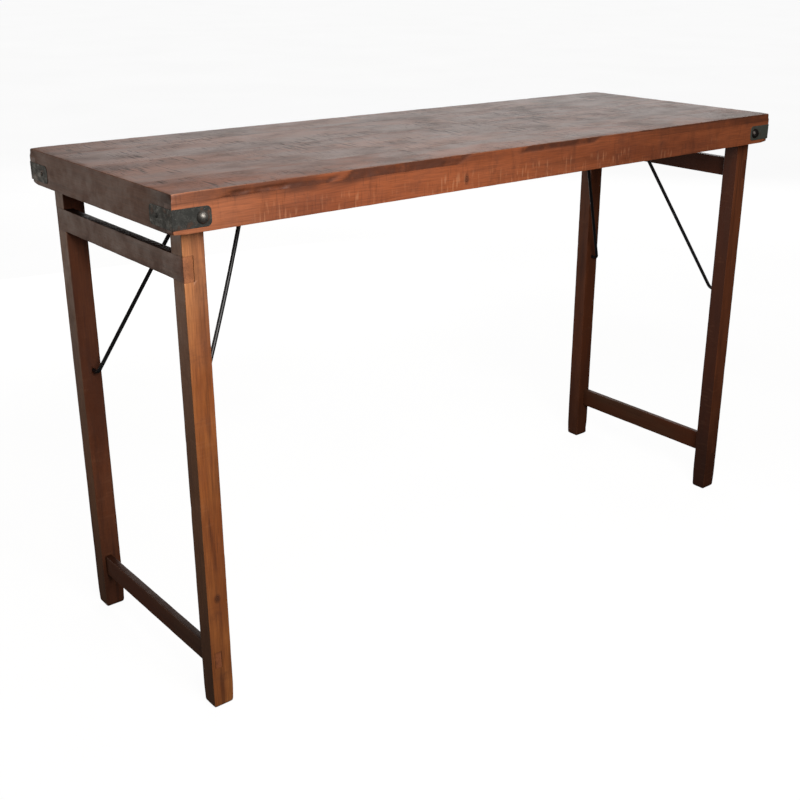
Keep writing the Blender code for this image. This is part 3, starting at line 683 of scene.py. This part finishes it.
def wane(at):
    """Stain, with painted shadow in the bites, at a point of the front board's edge, and how far it is eaten
    back.
    """
    low, high = front_board_box
    near = 1.0 - ease(at.y - low.y, *WANE_DEEP)
    if near == 0.0:
        return 0.0, Vector()
    down = (high.z - at.z) / (high.z - low.z)
    wander = 0.014 * rough(at, 35.0, 23.0) + 0.030 * (down - 0.5)
    ragged = 0.70 + 0.6 * rough(at, 60.0, 31.0) + 0.35 * rough(at, 150.0, 37.0)
    grey = (0.34 + 0.14 * ease(at.x, *STAIN_CORNER)) * ease(-at.x, *STAIN_LEFT)
    grey += 0.45 * ease(at.x, *STAIN_RIGHT)
    arris = ease(0.12 - down, 0.0, 0.10) * ease(-at.x, *STAIN_ARRIS)
    stain_and_shade = near * (1.0 - arris) * clamp(0.18 + grey + 0.30 * rough(at, 14.0, 41.0), 0.0, 1.0)
    bite = 0.0
    for start, end, depth, upper, lower in WANE_STRETCHES:
        inside = ease(at.x + wander - start, 0.0, WANE_FADE) * ease(end - at.x - wander, 0.0, WANE_FADE)
        inside *= ease(down, upper, upper + 0.22) * ease(lower - down, 0.0, 0.16) * near
        stain_and_shade = max(stain_and_shade, inside)
        bite = max(bite, inside * depth * ragged)
    return stain_and_shade, Vector((0.0, bite, 0.0))


def seam_dirt_and_shade(at):
    """Dirt and painted shade at a point of the front apron close under the board, which eats nothing away.
    """
    thin, thick = SEAM_DIRT_AND_SHADE
    outer, inner = DIRT_AND_SHADE_THICK
    deep = thin + (thick - thin) * ease(at.x, *outer) * ease(-at.x, *inner)
    share = 0.15 + 0.70 * ease(-at.x, *DIRT_AND_SHADE_LEFT) + 0.30 * ease(at.x, *DIRT_AND_SHADE_RIGHT)
    below = front_board_box[0].z - at.z
    return share * ease(deep - below, 0.0, deep) * (1.0 + 0.4 * rough(at, 40.0, 29.0)), Vector()


def number_faces(shape, finish_for):
    """Give each face the number of its finish by the way it faces."""
    shape.normal_update()
    for face in shape.faces:
        face.material_index = finish_for(face.normal)


def all_round(radius):
    """A rounding that is the same at every point."""
    return lambda at: (radius,) * 3


class TABLE_OT_boards(bpy.types.Operator):
    """Worn boards of the top, with wane along the front edge"""
    bl_idname = "table.boards"
    bl_label = "Top boards"

    def execute(self, context):
        look = context.scene.table_timber
        count = sum(node.startswith("top_board_") for node in frame["nodes"])
        sides = [apron_finish(row, look) for row in ROWS] + [end_finish(end, look) for end in ENDS]
        sides.append(rough_finish("board_underside_wood", X, 119.0, look, pale=0.2))
        for number in range(1, count + 1):
            node = f"top_board_{number}"
            low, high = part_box(node)
            seams = ([low.y] if number > 1 else []) + ([high.y] if number < count else [])
            shape = squared(blank(node), EASED)
            for seam in seams:
                let_out(shape, Y, seam, SEAM_CLOSE if seam == high.y else -SEAM_CLOSE)

            def rounding(at, seams=seams, low=low, high=high):
                from_seam = min(abs(at.y - seam) for seam in seams)
                corner = 0.0
                if len(seams) == 1:
                    across = abs(at.y - (low.y if seams[0] == high.y else high.y))
                    along = min(at.x - low.x, high.x - at.x)
                    corner = 1.0 - ease(max(along, across), *BOARD_CORNER_FADE)
                radius = look.top_rounding + (look.corner_rounding - look.top_rounding) * corner
                share = ease(from_seam, *BOARD_SEAM_FADE) * ease(at.z - low.z, *BOARD_BASE_FADE)
                tight = SEAM_EASE * ease(at.z, high.z - BOARD_TOP_FADE, high.z)
                return (tight + (radius - tight) * share,) * 3

            slice_up(shape, CUTS["front board" if number == 1 else "board"], look.top_rounding)
            number_faces(shape, self.side_shown)
            weather(shape, 3.0 * number, None, rounding, look.dents, wane if number == 1 else None)
            brown = look.board_red if number == 1 else look.board_brown
            finish = board_finish(f"board_{number}_wood", 2.3 * number, look, brown, WARMTH.get(number, 0.0))
            dress(shape, node, "worn", "board_wood", finish, *sides)
        return {"FINISHED"}

    def side_shown(self, facing):
        """Number of the wood on a face: the top's, a long apron's, an end apron's or the underside's."""
        if abs(facing.z) > FACING:
            return 0 if facing.z > 0 else 5
        if abs(facing.y) > abs(facing.x):
            return 1 if facing.y < 0 else 2
        return 3 if facing.x < 0 else 4


class TABLE_OT_aprons(bpy.types.Operator):
    """Long aprons with saw marks, and darker end aprons"""
    bl_idname = "table.aprons"
    bl_label = "Aprons"

    def execute(self, context):
        look = context.scene.table_timber
        apron_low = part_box("front_apron")[0].z

        def rounding(at):
            along = min(at.x - top_low.x, top_high.x - at.x)
            across = min(at.y - top_low.y, top_high.y - at.y)
            corner = 1.0 - ease(max(along, across), *APRON_CORNER_FADE)
            radius = look.apron_rounding + (look.corner_rounding - look.apron_rounding) * corner
            return (radius * (1.0 - ease(at.z - apron_low, *APRON_BASE_FADE)),) * 3

        pieces = [(f"{row}_apron", X, "long apron", apron_finish(row, look), "apron_wood") for row in ROWS]
        pieces += [(f"{end}_end_apron", Y, "end apron", end_finish(end, look), "end_wood") for end in ENDS]
        for number, (node, grain, kind, finish, slot) in enumerate(pieces):
            shape = squared(blank(node), EASED)
            let_out(shape, Z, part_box(node)[1].z, JOINT_CLOSE)
            slice_up(shape, CUTS[kind], look.apron_rounding)
            weather(shape, 21.0 + number, grain, rounding, look.dents, seam_dirt_and_shade if number == 0 else None)
            dress(shape, node, "worn", slot, finish)
        return {"FINISHED"}


class TABLE_OT_legs(bpy.types.Operator):
    """Square legs with rounded edges and worn feet"""
    bl_idname = "table.legs"
    bl_label = "Legs"

    def execute(self, context):
        look = context.scene.table_timber
        for number, (end, row) in enumerate((end, row) for end in ENDS for row in ROWS):
            node = f"{row}_{end}_leg"
            low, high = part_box(node)

            def rounding(at, low=low):
                lower = 1.0 - ease(at.z - low.z, 0.0, FOOT_HEIGHT)
                side = look.leg_rounding + (FOOT_SIDES * look.foot_rounding - look.leg_rounding) * lower
                return side, side, max(look.leg_rounding, look.foot_rounding * lower)

            shape = squared(blank(node), LEG_EASED, (X, Y), high.z - LEG_CROWN)
            slice_up(shape, CUTS["leg"], look.foot_rounding)
            number_faces(shape, lambda facing: int(abs(facing.x) > abs(facing.y)))
            weather(shape, 51.0 + 3 * number, Z, rounding, look.dents)
            # Fronts and backs get one finish and the sides another, lit and shaded copies of the wood: the
            # front left leg's front is in bright tones with painted light at its top, the other legs' fronts
            # in darker tones, partly their wood and partly painted shade, the sides of the left legs and the
            # front right leg in tones painted for the dimmer light on them, and all darken towards the feet
            # with painted shade
            front, darkening, painted_light, knots = (look.leg_dark, look.leg_red), 0.45, None, []
            if number == 0:
                along, up = LEG_KNOT
                front, darkening, painted_light = (look.leg_orange, look.leg_brown), 0.10, LEG_PAINTED_LIGHT
                knots = [((low.x + along, low.y, up), LEG_KNOT_SIZE)]
            side = (look.leg_shade, look.dark_grain)
            if end == "left":
                side = (look.leg_side, look.leg_grey)
            elif row == "back":
                side = front
            finishes = [timber_finish(
                f"{node}_{name}_wood", Z, 64.6 + 2.7 * number, tones, look, saw=0.05, pale=0.03,
                streaks=0.6, rub=0.2, roughness=0.5, gloss=0.35 if end == "left" else 0.18, knots=knots,
                darkening=(*FOOT_SHADE, share, 0.0), painted_light=top_light)
                for name, tones, share, top_light in (("front", front, darkening, painted_light), ("side", side, 0.5, None))]
            dress(shape, node, "worn", "leg_wood", *finishes)
        return {"FINISHED"}


class TABLE_OT_rails(bpy.types.Operator):
    """Upper rails, let in flush with the legs, and low stretchers with through tenons"""
    bl_idname = "table.rails"
    bl_label = "Rails and stretchers"

    def execute(self, context):
        look = context.scene.table_timber
        leg_face, leg_front = (corner.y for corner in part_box("back_left_leg"))
        near, far = RAIL_END_FADE

        def rail_rounding(at):
            free = look.rail_rounding * (1.0 - ease(abs(at.y), leg_face - RAIL_JOINT_FADE, leg_face))
            corner = look.leg_corner * ease(abs(at.y), leg_front - near, leg_front - far)
            return max(free, corner), max(free, corner), free

        for number, end in enumerate(ENDS):
            rail, stretcher = f"{end}_upper_rail", f"{end}_stretcher"
            pieces = ((rail, squared(blank(rail), EASED), rail_rounding),
                      (stretcher, blank(stretcher), all_round(look.rail_rounding)))
            # Outer faces, inner ones (with tops, bottoms and back ends) and front ends get finishes of their
            # own, lit and shaded copies of the wood: the inner faces are in darker tones as painted shade,
            # on the right darker still towards the floor; the left rails' upward faces carry painted shadow;
            # and the left front ends take a lighter tone like the front left leg's front, with its painted
            # light
            dark = (look.rail_dark, look.leg_red)
            tenon, painted_light, painted_top_shade = (look.leg_dark, look.leg_red), None, 0.0
            inner, gloss, darkening = (look.leg_shade, look.dark_grain), 0.08, (*FOOT_SHADE, 0.30, 0.0)
            if end == "left":
                tenon, painted_light, painted_top_shade = (look.rail_end, look.leg_brown), LEG_PAINTED_LIGHT, 0.75
                inner, gloss, darkening = dark, 0.05, None
            for step, (node, shape, rounding) in enumerate(pieces):
                slice_up(shape, CUTS["rail"], look.rail_rounding)
                number_faces(shape, lambda facing, outward=ENDS[end]: 2 if facing.y < -FACING else
                             int(outward * facing.x < FACING))
                weather(shape, 81.0 + 4 * number + 2 * step, None, rounding, look.dents)
                outer, hidden = (dark, dark) if step else ((look.end_brown, look.end_red), inner)
                faces = {"outer": (outer, {}), "inner": (hidden, {"darkening": darkening}),
                         "end": (tenon, {"painted_light": painted_light})}
                finishes = [timber_finish(
                    f"{node}_{name}_wood", Y, 91.0 + 4.2 * number + 2.1 * step, tones, look, saw=0.12,
                    pale=0.0, streaks=0.4, rub=0.1, roughness=0.5, gloss=gloss if name == "inner" else 0.29,
                    painted_top_shade=painted_top_shade, **marks) for name, (tones, marks) in faces.items()]
                dress(shape, node, "worn", "rail_wood", *finishes)
        return {"FINISHED"}


def hammered(node, seed, edge, depth=0.0, step=METAL_CUT):
    """A metal node with eased edges and uneven faces."""
    shape = blank(node)
    sharp = [item for item in shape.edges if item.is_manifold and item.calc_face_angle() > SHARP_ANGLE]
    bmesh.ops.bevel(shape, geom=sharp, offset=edge, segments=2, profile=0.5, affect="EDGES",
                    clamp_overlap=True)
    slice_up(shape, (step,) * 3, edge)
    shape.normal_update()
    moves = [(vert, vert.normal * depth * (0.5 + 0.5 * rough(vert.co, HAMMER_WAVES, seed)))
             for vert in shape.verts]
    for vert, move in moves:
        vert.co -= move
    return shape


def turned(profile, spot, axis, steps=40):
    """Turn a profile of (radius, height) points about an axis through a spot."""
    shape = bmesh.new()
    rings = []
    for radius, height in profile:
        if radius == 0.0:
            rings.append([shape.verts.new((0.0, 0.0, height))])
            continue
        angles = [math.tau * step / steps for step in range(steps)]
        rings.append([shape.verts.new((radius * math.cos(angle), radius * math.sin(angle), height))
                      for angle in angles])
    for ring, after in zip(rings, rings[1:]):
        for step in range(steps):
            corners = [ring[step % len(ring)], ring[(step + 1) % len(ring)],
                       after[(step + 1) % len(after)], after[step % len(after)]]
            shape.faces.new(list(dict.fromkeys(corners)))
    turn = Vector((0, 0, 1)).rotation_difference(Vector(axis)).to_matrix().to_4x4()
    bmesh.ops.transform(shape, matrix=Matrix.Translation(spot) @ turn, verts=shape.verts)
    bmesh.ops.recalc_face_normals(shape, faces=shape.faces)
    return shape


def pin_profile(radius, length, head_radius, head_height, rim, thread=0.0):
    """The profile of a pin with a domed head; its head's seat is at height zero."""
    rise = head_height - rim
    dome = (head_radius ** 2 + rise ** 2) / (2 * rise)
    chamfer = radius * 0.3
    profile = [(0.0, -length), (radius * 0.8, -length), (radius, -length + chamfer)]
    for number in range(int(thread / THREAD_PITCH)):
        at = -length + chamfer + THREAD_PITCH * number
        profile += [(radius * 0.88, at + 0.4 * THREAD_PITCH), (radius, at + 0.9 * THREAD_PITCH)]
    ease_out = head_radius * 0.05
    profile += [(radius, 0.0), (head_radius - ease_out, 0.0), (head_radius, ease_out)]
    start = math.asin(min(1.0, head_radius / dome))
    steps = 10
    for number in range(steps):
        angle = start * (1 - number / steps)
        profile.append((dome * math.sin(angle), head_height - dome * (1 - math.cos(angle))))
    return profile + [(0.0, head_height)]


def sunk(at, share):
    """A point of a strap, with only a share of its depth left outside the timber it lies on."""
    return Vector((at.x + (share - 1.0) * (at.x - clamp(at.x, top_low.x, top_high.x)),
                   at.y + (share - 1.0) * (at.y - clamp(at.y, top_low.y, top_high.y)), at.z))


def pin_reach(pin_box, strap_box, axis, outward, proud):
    """Where a pin's head lies on its strap, where the head ends and where the pin ends, along an axis."""
    low, high = (corner[axis] for corner in pin_box)
    strap_low, strap_high = (sunk(corner, proud)[axis] for corner in strap_box)
    return (strap_high, high, low) if outward > 0 else (strap_low, low, high)


class TABLE_OT_straps(bpy.types.Operator):
    """Bent iron straps round the corners, with their nails"""
    bl_idname = "table.straps"
    bl_label = "Corner straps"

    def execute(self, context):
        look = context.scene.table_iron
        grounds = {"left": (look.plate_dark, 0.25), "right": (look.plate_pale, 0.5)}
        for number, (row, end) in enumerate(CORNERS):
            node = f"{row}_{end}_strap"
            finish = plate_finish(f"{node}_iron", look, 7.0 * number + 1.0, *grounds[end])
            plate = hammered(node, 3.0 * number, edge=0.0006, depth=look.hammering, step=STRAP_CUT)
            for vert in plate.verts:
                vert.co = sunk(vert.co, look.strap_proud)
            dress(plate, node, "forged", "strap_iron", finish)
            nail = f"{node}_nail"
            low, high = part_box(nail)
            seat, tip, root = pin_reach((low, high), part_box(node), X, ENDS[end], look.strap_proud)
            profile = pin_profile(NAIL_RADIUS, abs(seat - root), (high.z - low.z) / 2,
                                  NAIL_HEAD * abs(tip - seat), NAIL_RIM)
            spot = (seat, (low.y + high.y) / 2, (low.z + high.z) / 2)
            dress(turned(profile, spot, (ENDS[end], 0, 0), 24), nail, "turned", "strap_iron", finish)
        return {"FINISHED"}


class TABLE_OT_pivots(bpy.types.Operator):
    """Pivot bolts with their spacers, washers and nuts"""
    bl_idname = "table.pivots"
    bl_label = "Pivot bolts"

    def execute(self, context):
        look = context.scene.table_iron
        for number, (row, end) in enumerate(CORNERS):
            name = f"{row}_{end}_pivot"
            low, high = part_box(f"{name}_bolt")
            seat, tip, root = pin_reach((low, high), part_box(f"{row}_{end}_strap"), Y, ROWS[row],
                                        look.strap_proud)
            spot = ((low.x + high.x) / 2, seat, (low.z + high.z) / 2)
            profile = pin_profile(BOLT_RADIUS, abs(seat - root), (high.z - low.z) / 2 - HEAD_GAP,
                                  abs(tip - seat) - HEAD_GAP, BOLT_RIM, THREAD_LENGTH)
            finish = bolt_finish(f"{name}_steel", look, 5.0 * number + 2.0, 1.0 if number == 0 else 0.35)
            bolt = turned(profile, spot, (0, ROWS[row], 0))
            dress(bolt, f"{name}_bolt", "turned", "bolt_steel", finish)
            dull = plate_finish(f"{name}_iron", look, 5.0 * number + 3.0, look.plate_dark)
            for piece, slot, skin in (("spacer", "strap_iron", dull), ("washer", "bolt_steel", finish),
                                      ("nut", "bolt_steel", finish)):
                node = f"{name}_{piece}"
                dress(hammered(node, number, edge=0.0005, depth=0.0001), node, "eased", slot, skin)
        return {"FINISHED"}


def bent_route(corners, radius, steps=10):
    """Points along straight runs between corners, with an arc at each inner corner."""
    points = [corners[0]]
    for before, corner, after in zip(corners, corners[1:], corners[2:]):
        back = (before - corner).normalized()
        ahead = (after - corner).normalized()
        half = back.angle(ahead) / 2
        centre = corner + (back + ahead).normalized() * radius / math.sin(half)
        start = corner + back * radius / math.tan(half) - centre
        end = corner + ahead * radius / math.tan(half) - centre
        points += [centre + start.slerp(end, step / steps) * radius for step in range(steps + 1)]
    points.append(corners[-1])
    route = []
    for point, after in zip(points, points[1:]):
        count = max(1, round((after - point).length / ROD_STEP))
        route += [point.lerp(after, step / count) for step in range(count)]
    return route + [corners[-1]]


def round_rod(name, points, radius, finish):
    """A round rod through points, with capped ends."""
    curve = bpy.data.curves.new(name, "CURVE")
    curve.dimensions = "3D"
    curve.fill_mode = "FULL"
    curve.bevel_depth = radius
    curve.bevel_resolution = 6
    curve.use_fill_caps = True
    spline = curve.splines.new("POLY")
    spline.points.add(len(points) - 1)
    for target, point in zip(spline.points, points):
        target.co = (*point, 1.0)
    spline.use_smooth = True
    curve.materials.append(finish)
    return bpy.data.objects.new(name, curve)


class TABLE_OT_stays(bpy.types.Operator):
    """Bent rods that brace the leg frames"""
    bl_idname = "table.stays"
    bl_label = "Stays"

    def execute(self, context):
        look = context.scene.table_iron
        joints = {joint["name"]: joint for joint in frame["joints"]}
        for number, (end, along) in enumerate(ENDS.items()):
            node = f"{end}_stay"
            low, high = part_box(node)
            foot = Vector(joints[f"{end}_stay_turn"]["pos_m"])
            radius = foot.z - low.z
            bar_x = high.x - radius if end == "left" else low.x + radius
            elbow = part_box(f"back_{end}_leg")[0].y - look.stay_stub - look.stay_bend
            half = [Vector((foot.x, high.y, foot.z)), Vector((foot.x, elbow, foot.z)),
                    Vector((bar_x, look.stay_bar / 2, high.z - radius))]
            other = [Vector((point.x, -point.y, point.z)) for point in reversed(half)]
            route = bent_route(half + other, look.stay_bend)
            if end == "left":
                route = [self.bowed(point, foot.z, high.z - radius, look.stay_bow) for point in route]
            rod = round_rod(f"{node}_bent", route, radius, rod_finish(f"{node}_paint", look, 3.0 * number))
            show(rod, node)
        return {"FINISHED"}

    def bowed(self, point, foot, top, bow):
        """A point of a stay whose front side was bent a little towards the middle."""
        up = math.sin(math.pi * clamp((point.z - foot) / (top - foot), 0.0, 1.0))
        return point + Vector((bow * up * ease(-point.y, *BOW_FADE), 0.0, 0.0))


class TABLE_OT_underside(bpy.types.Operator):
    """Battens under the boards, with their screws and the stays' hooks"""
    bl_idname = "table.underside"
    bl_label = "Underside"

    def execute(self, context):
        look = context.scene.table_timber
        steel = bolt_finish("screw_steel", context.scene.table_iron, 4.0, 0.6)
        for number, batten in enumerate(("middle_batten", "left_catch_batten", "right_catch_batten")):
            shape = blank(batten)
            slice_up(shape, CUTS["batten"], look.rail_rounding)
            weather(shape, 101.0 + number, Y, all_round(look.rail_rounding), look.dents)
            finish = rough_finish(f"{batten}_wood", Y, 111.0 + 2 * number, look, pale=0.3)
            dress(shape, batten, "worn", "batten_wood", finish)
            for row in ROWS:
                node = f"{batten}_{row}_screw"
                dress(hammered(node, number, edge=0.0002), node, "eased", "bolt_steel", steel)
        for number, (row, end) in enumerate(CORNERS):
            node = f"{row}_{end}_hook"
            dress(hammered(node, number, edge=0.0003), node, "eased", "strap_iron", steel)
        return {"FINISHED"}


def soft_light(name, place, size, power, aim, colour):
    """A soft light of a width and a height that faces a point."""
    lamp = bpy.data.lights.new(name, "AREA")
    lamp.shape = "RECTANGLE"
    lamp.size, lamp.size_y = size
    lamp.energy = power
    lamp.color = colour
    light = bpy.data.objects.new(name, lamp)
    light.location = place
    light.rotation_euler = (Vector(aim) - Vector(place)).to_track_quat("-Z", "Y").to_euler()
    bpy.context.scene.collection.objects.link(light)


class TABLE_OT_stage(bpy.types.Operator):
    """Pale floor, soft studio light and the camera"""
    bl_idname = "table.stage"
    bl_label = "Stage"

    def execute(self, context):
        look = context.scene.table_stage
        shape = bmesh.new()
        bmesh.ops.create_circle(shape, cap_ends=True, segments=64, radius=look.floor_radius)
        mesh = bpy.data.meshes.new("floor")
        shape.to_mesh(mesh)
        shape.free()
        floor = bpy.data.objects.new("floor", mesh)
        context.scene.collection.objects.link(floor)
        mesh.materials.append(self.floor_finish(look))

        for name, height, aim, colour in (
                ("key", look.key_size, (-0.1, 0.0, 0.75), (1.0, 0.96, 0.92)),
                ("back", look.back_height, (0.1, 0.1, 1.0), (1.0, 0.97, 0.95)),
                ("side", look.side_size, (-0.85, 0.0, 0.95), (1.0, 0.93, 0.84)),
                ("fill", look.fill_size / 2, (0.0, 0.0, 0.7), (1.0, 0.96, 0.92))):
            place, width, power = (getattr(look, f"{name}_{part}") for part in ("place", "size", "power"))
            soft_light(f"{name}_light", place, (width, height), power, aim, colour)
        context.scene.world = self.studio_air(look)
        context.scene.view_settings.view_transform = "Standard"

        lens = bpy.data.cameras.new("camera")
        lens.lens = look.lens
        lens.sensor_width = 36.0
        lens.shift_x, lens.shift_y = look.shift
        lens.clip_end = 4 * look.floor_radius
        camera = bpy.data.objects.new("camera", lens)
        camera.location = look.camera_place
        camera.rotation_euler = look.camera_turn
        context.scene.collection.objects.link(camera)
        context.scene.camera = camera
        return {"FINISHED"}

    def studio_air(self, look):
        """Soft light from all round, behind which the eye sees the floor's own pale tone."""
        world = bpy.data.worlds.new("studio_air")
        world.use_nodes = True
        nodes, links = world.node_tree.nodes, world.node_tree.links
        soft = nodes["Background"]
        soft.inputs["Color"].default_value = (*look.air_colour, 1.0)
        soft.inputs["Strength"].default_value = look.air_strength
        pale = nodes.new("ShaderNodeBackground")
        pale.inputs["Color"].default_value = (*look.floor_colour, 1.0)
        both = nodes.new("ShaderNodeMixShader")
        links.new(nodes.new("ShaderNodeLightPath").outputs["Is Camera Ray"], both.inputs[0])
        links.new(soft.outputs[0], both.inputs[1])
        links.new(pale.outputs[0], both.inputs[2])
        links.new(both.outputs[0], nodes["World Output"].inputs["Surface"])
        return world

    def floor_finish(self, look):
        """A pale floor that looks evenly lit, throws little light back and is clear from below."""
        paint = Finish("pale_floor", look.floor_colour)
        nodes, links = paint.tree.nodes, paint.tree.links
        paint.lay((0.5, 0.5, 0.5), paint.noise(0.8, 1.0), 0.3, 0.7, 0.03)
        glow = paint.add("ShaderNodeEmission", {"Color": paint.colour, "Strength": 1.0})
        dim = paint.add("ShaderNodeBsdfDiffuse", {"Color": (0.07, 0.07, 0.07)})
        seen = paint.add("ShaderNodeAddShader", {0: glow.outputs[0], 1: dim.outputs[0]})
        path = paint.add("ShaderNodeLightPath")
        both = paint.add("ShaderNodeMixShader", {0: path.outputs["Is Camera Ray"], 1: dim.outputs[0],
                                                 2: seen.outputs[0]})
        below = paint.add("ShaderNodeNewGeometry").outputs["Backfacing"]
        clear = paint.add("ShaderNodeBsdfTransparent")
        whole = paint.add("ShaderNodeMixShader", {0: below, 1: both.outputs[0], 2: clear.outputs[0]})
        links.new(whole.outputs[0], nodes["Material Output"].inputs["Surface"])
        return paint.material


OPERATORS = (TABLE_OT_boards, TABLE_OT_aprons, TABLE_OT_legs, TABLE_OT_rails, TABLE_OT_straps,
             TABLE_OT_pivots, TABLE_OT_stays, TABLE_OT_underside, TABLE_OT_stage)


class TABLE_PT_looks(bpy.types.Panel):
    """Lists the table's pieces and their looks"""
    bl_idname = "TABLE_PT_looks"
    bl_label = "Folding bar table"
    bl_space_type = "VIEW_3D"
    bl_region_type = "UI"
    bl_category = "Table"

    def draw(self, context):
        for operator in OPERATORS:
            self.layout.operator(operator.bl_idname)
        for group in (context.scene.table_timber, context.scene.table_iron, context.scene.table_stage):
            box = self.layout.box()
            for name in group.bl_rna.properties.keys():
                if name not in ("rna_type", "name"):
                    box.prop(group, name)


GROUPS = {"table_timber": TableTimber, "table_iron": TableIron, "table_stage": TableStage}


def register():
    for group in (*GROUPS.values(), *OPERATORS, TABLE_PT_looks):
        bpy.utils.register_class(group)
    for name, group in GROUPS.items():
        setattr(bpy.types.Scene, name, PointerProperty(type=group))


def unregister():
    for name in GROUPS:
        delattr(bpy.types.Scene, name)
    for group in reversed((*GROUPS.values(), *OPERATORS, TABLE_PT_looks)):
        bpy.utils.unregister_class(group)


def main():
    """Dress the table and set the stage."""
    register()
    bpy.ops.table.stage()
    bpy.ops.table.boards()
    bpy.ops.table.aprons()
    bpy.ops.table.legs()
    bpy.ops.table.rails()
    bpy.ops.table.straps()
    bpy.ops.table.pivots()
    bpy.ops.table.stays()
    bpy.ops.table.underside()


if __name__ == "__main__":
    main()
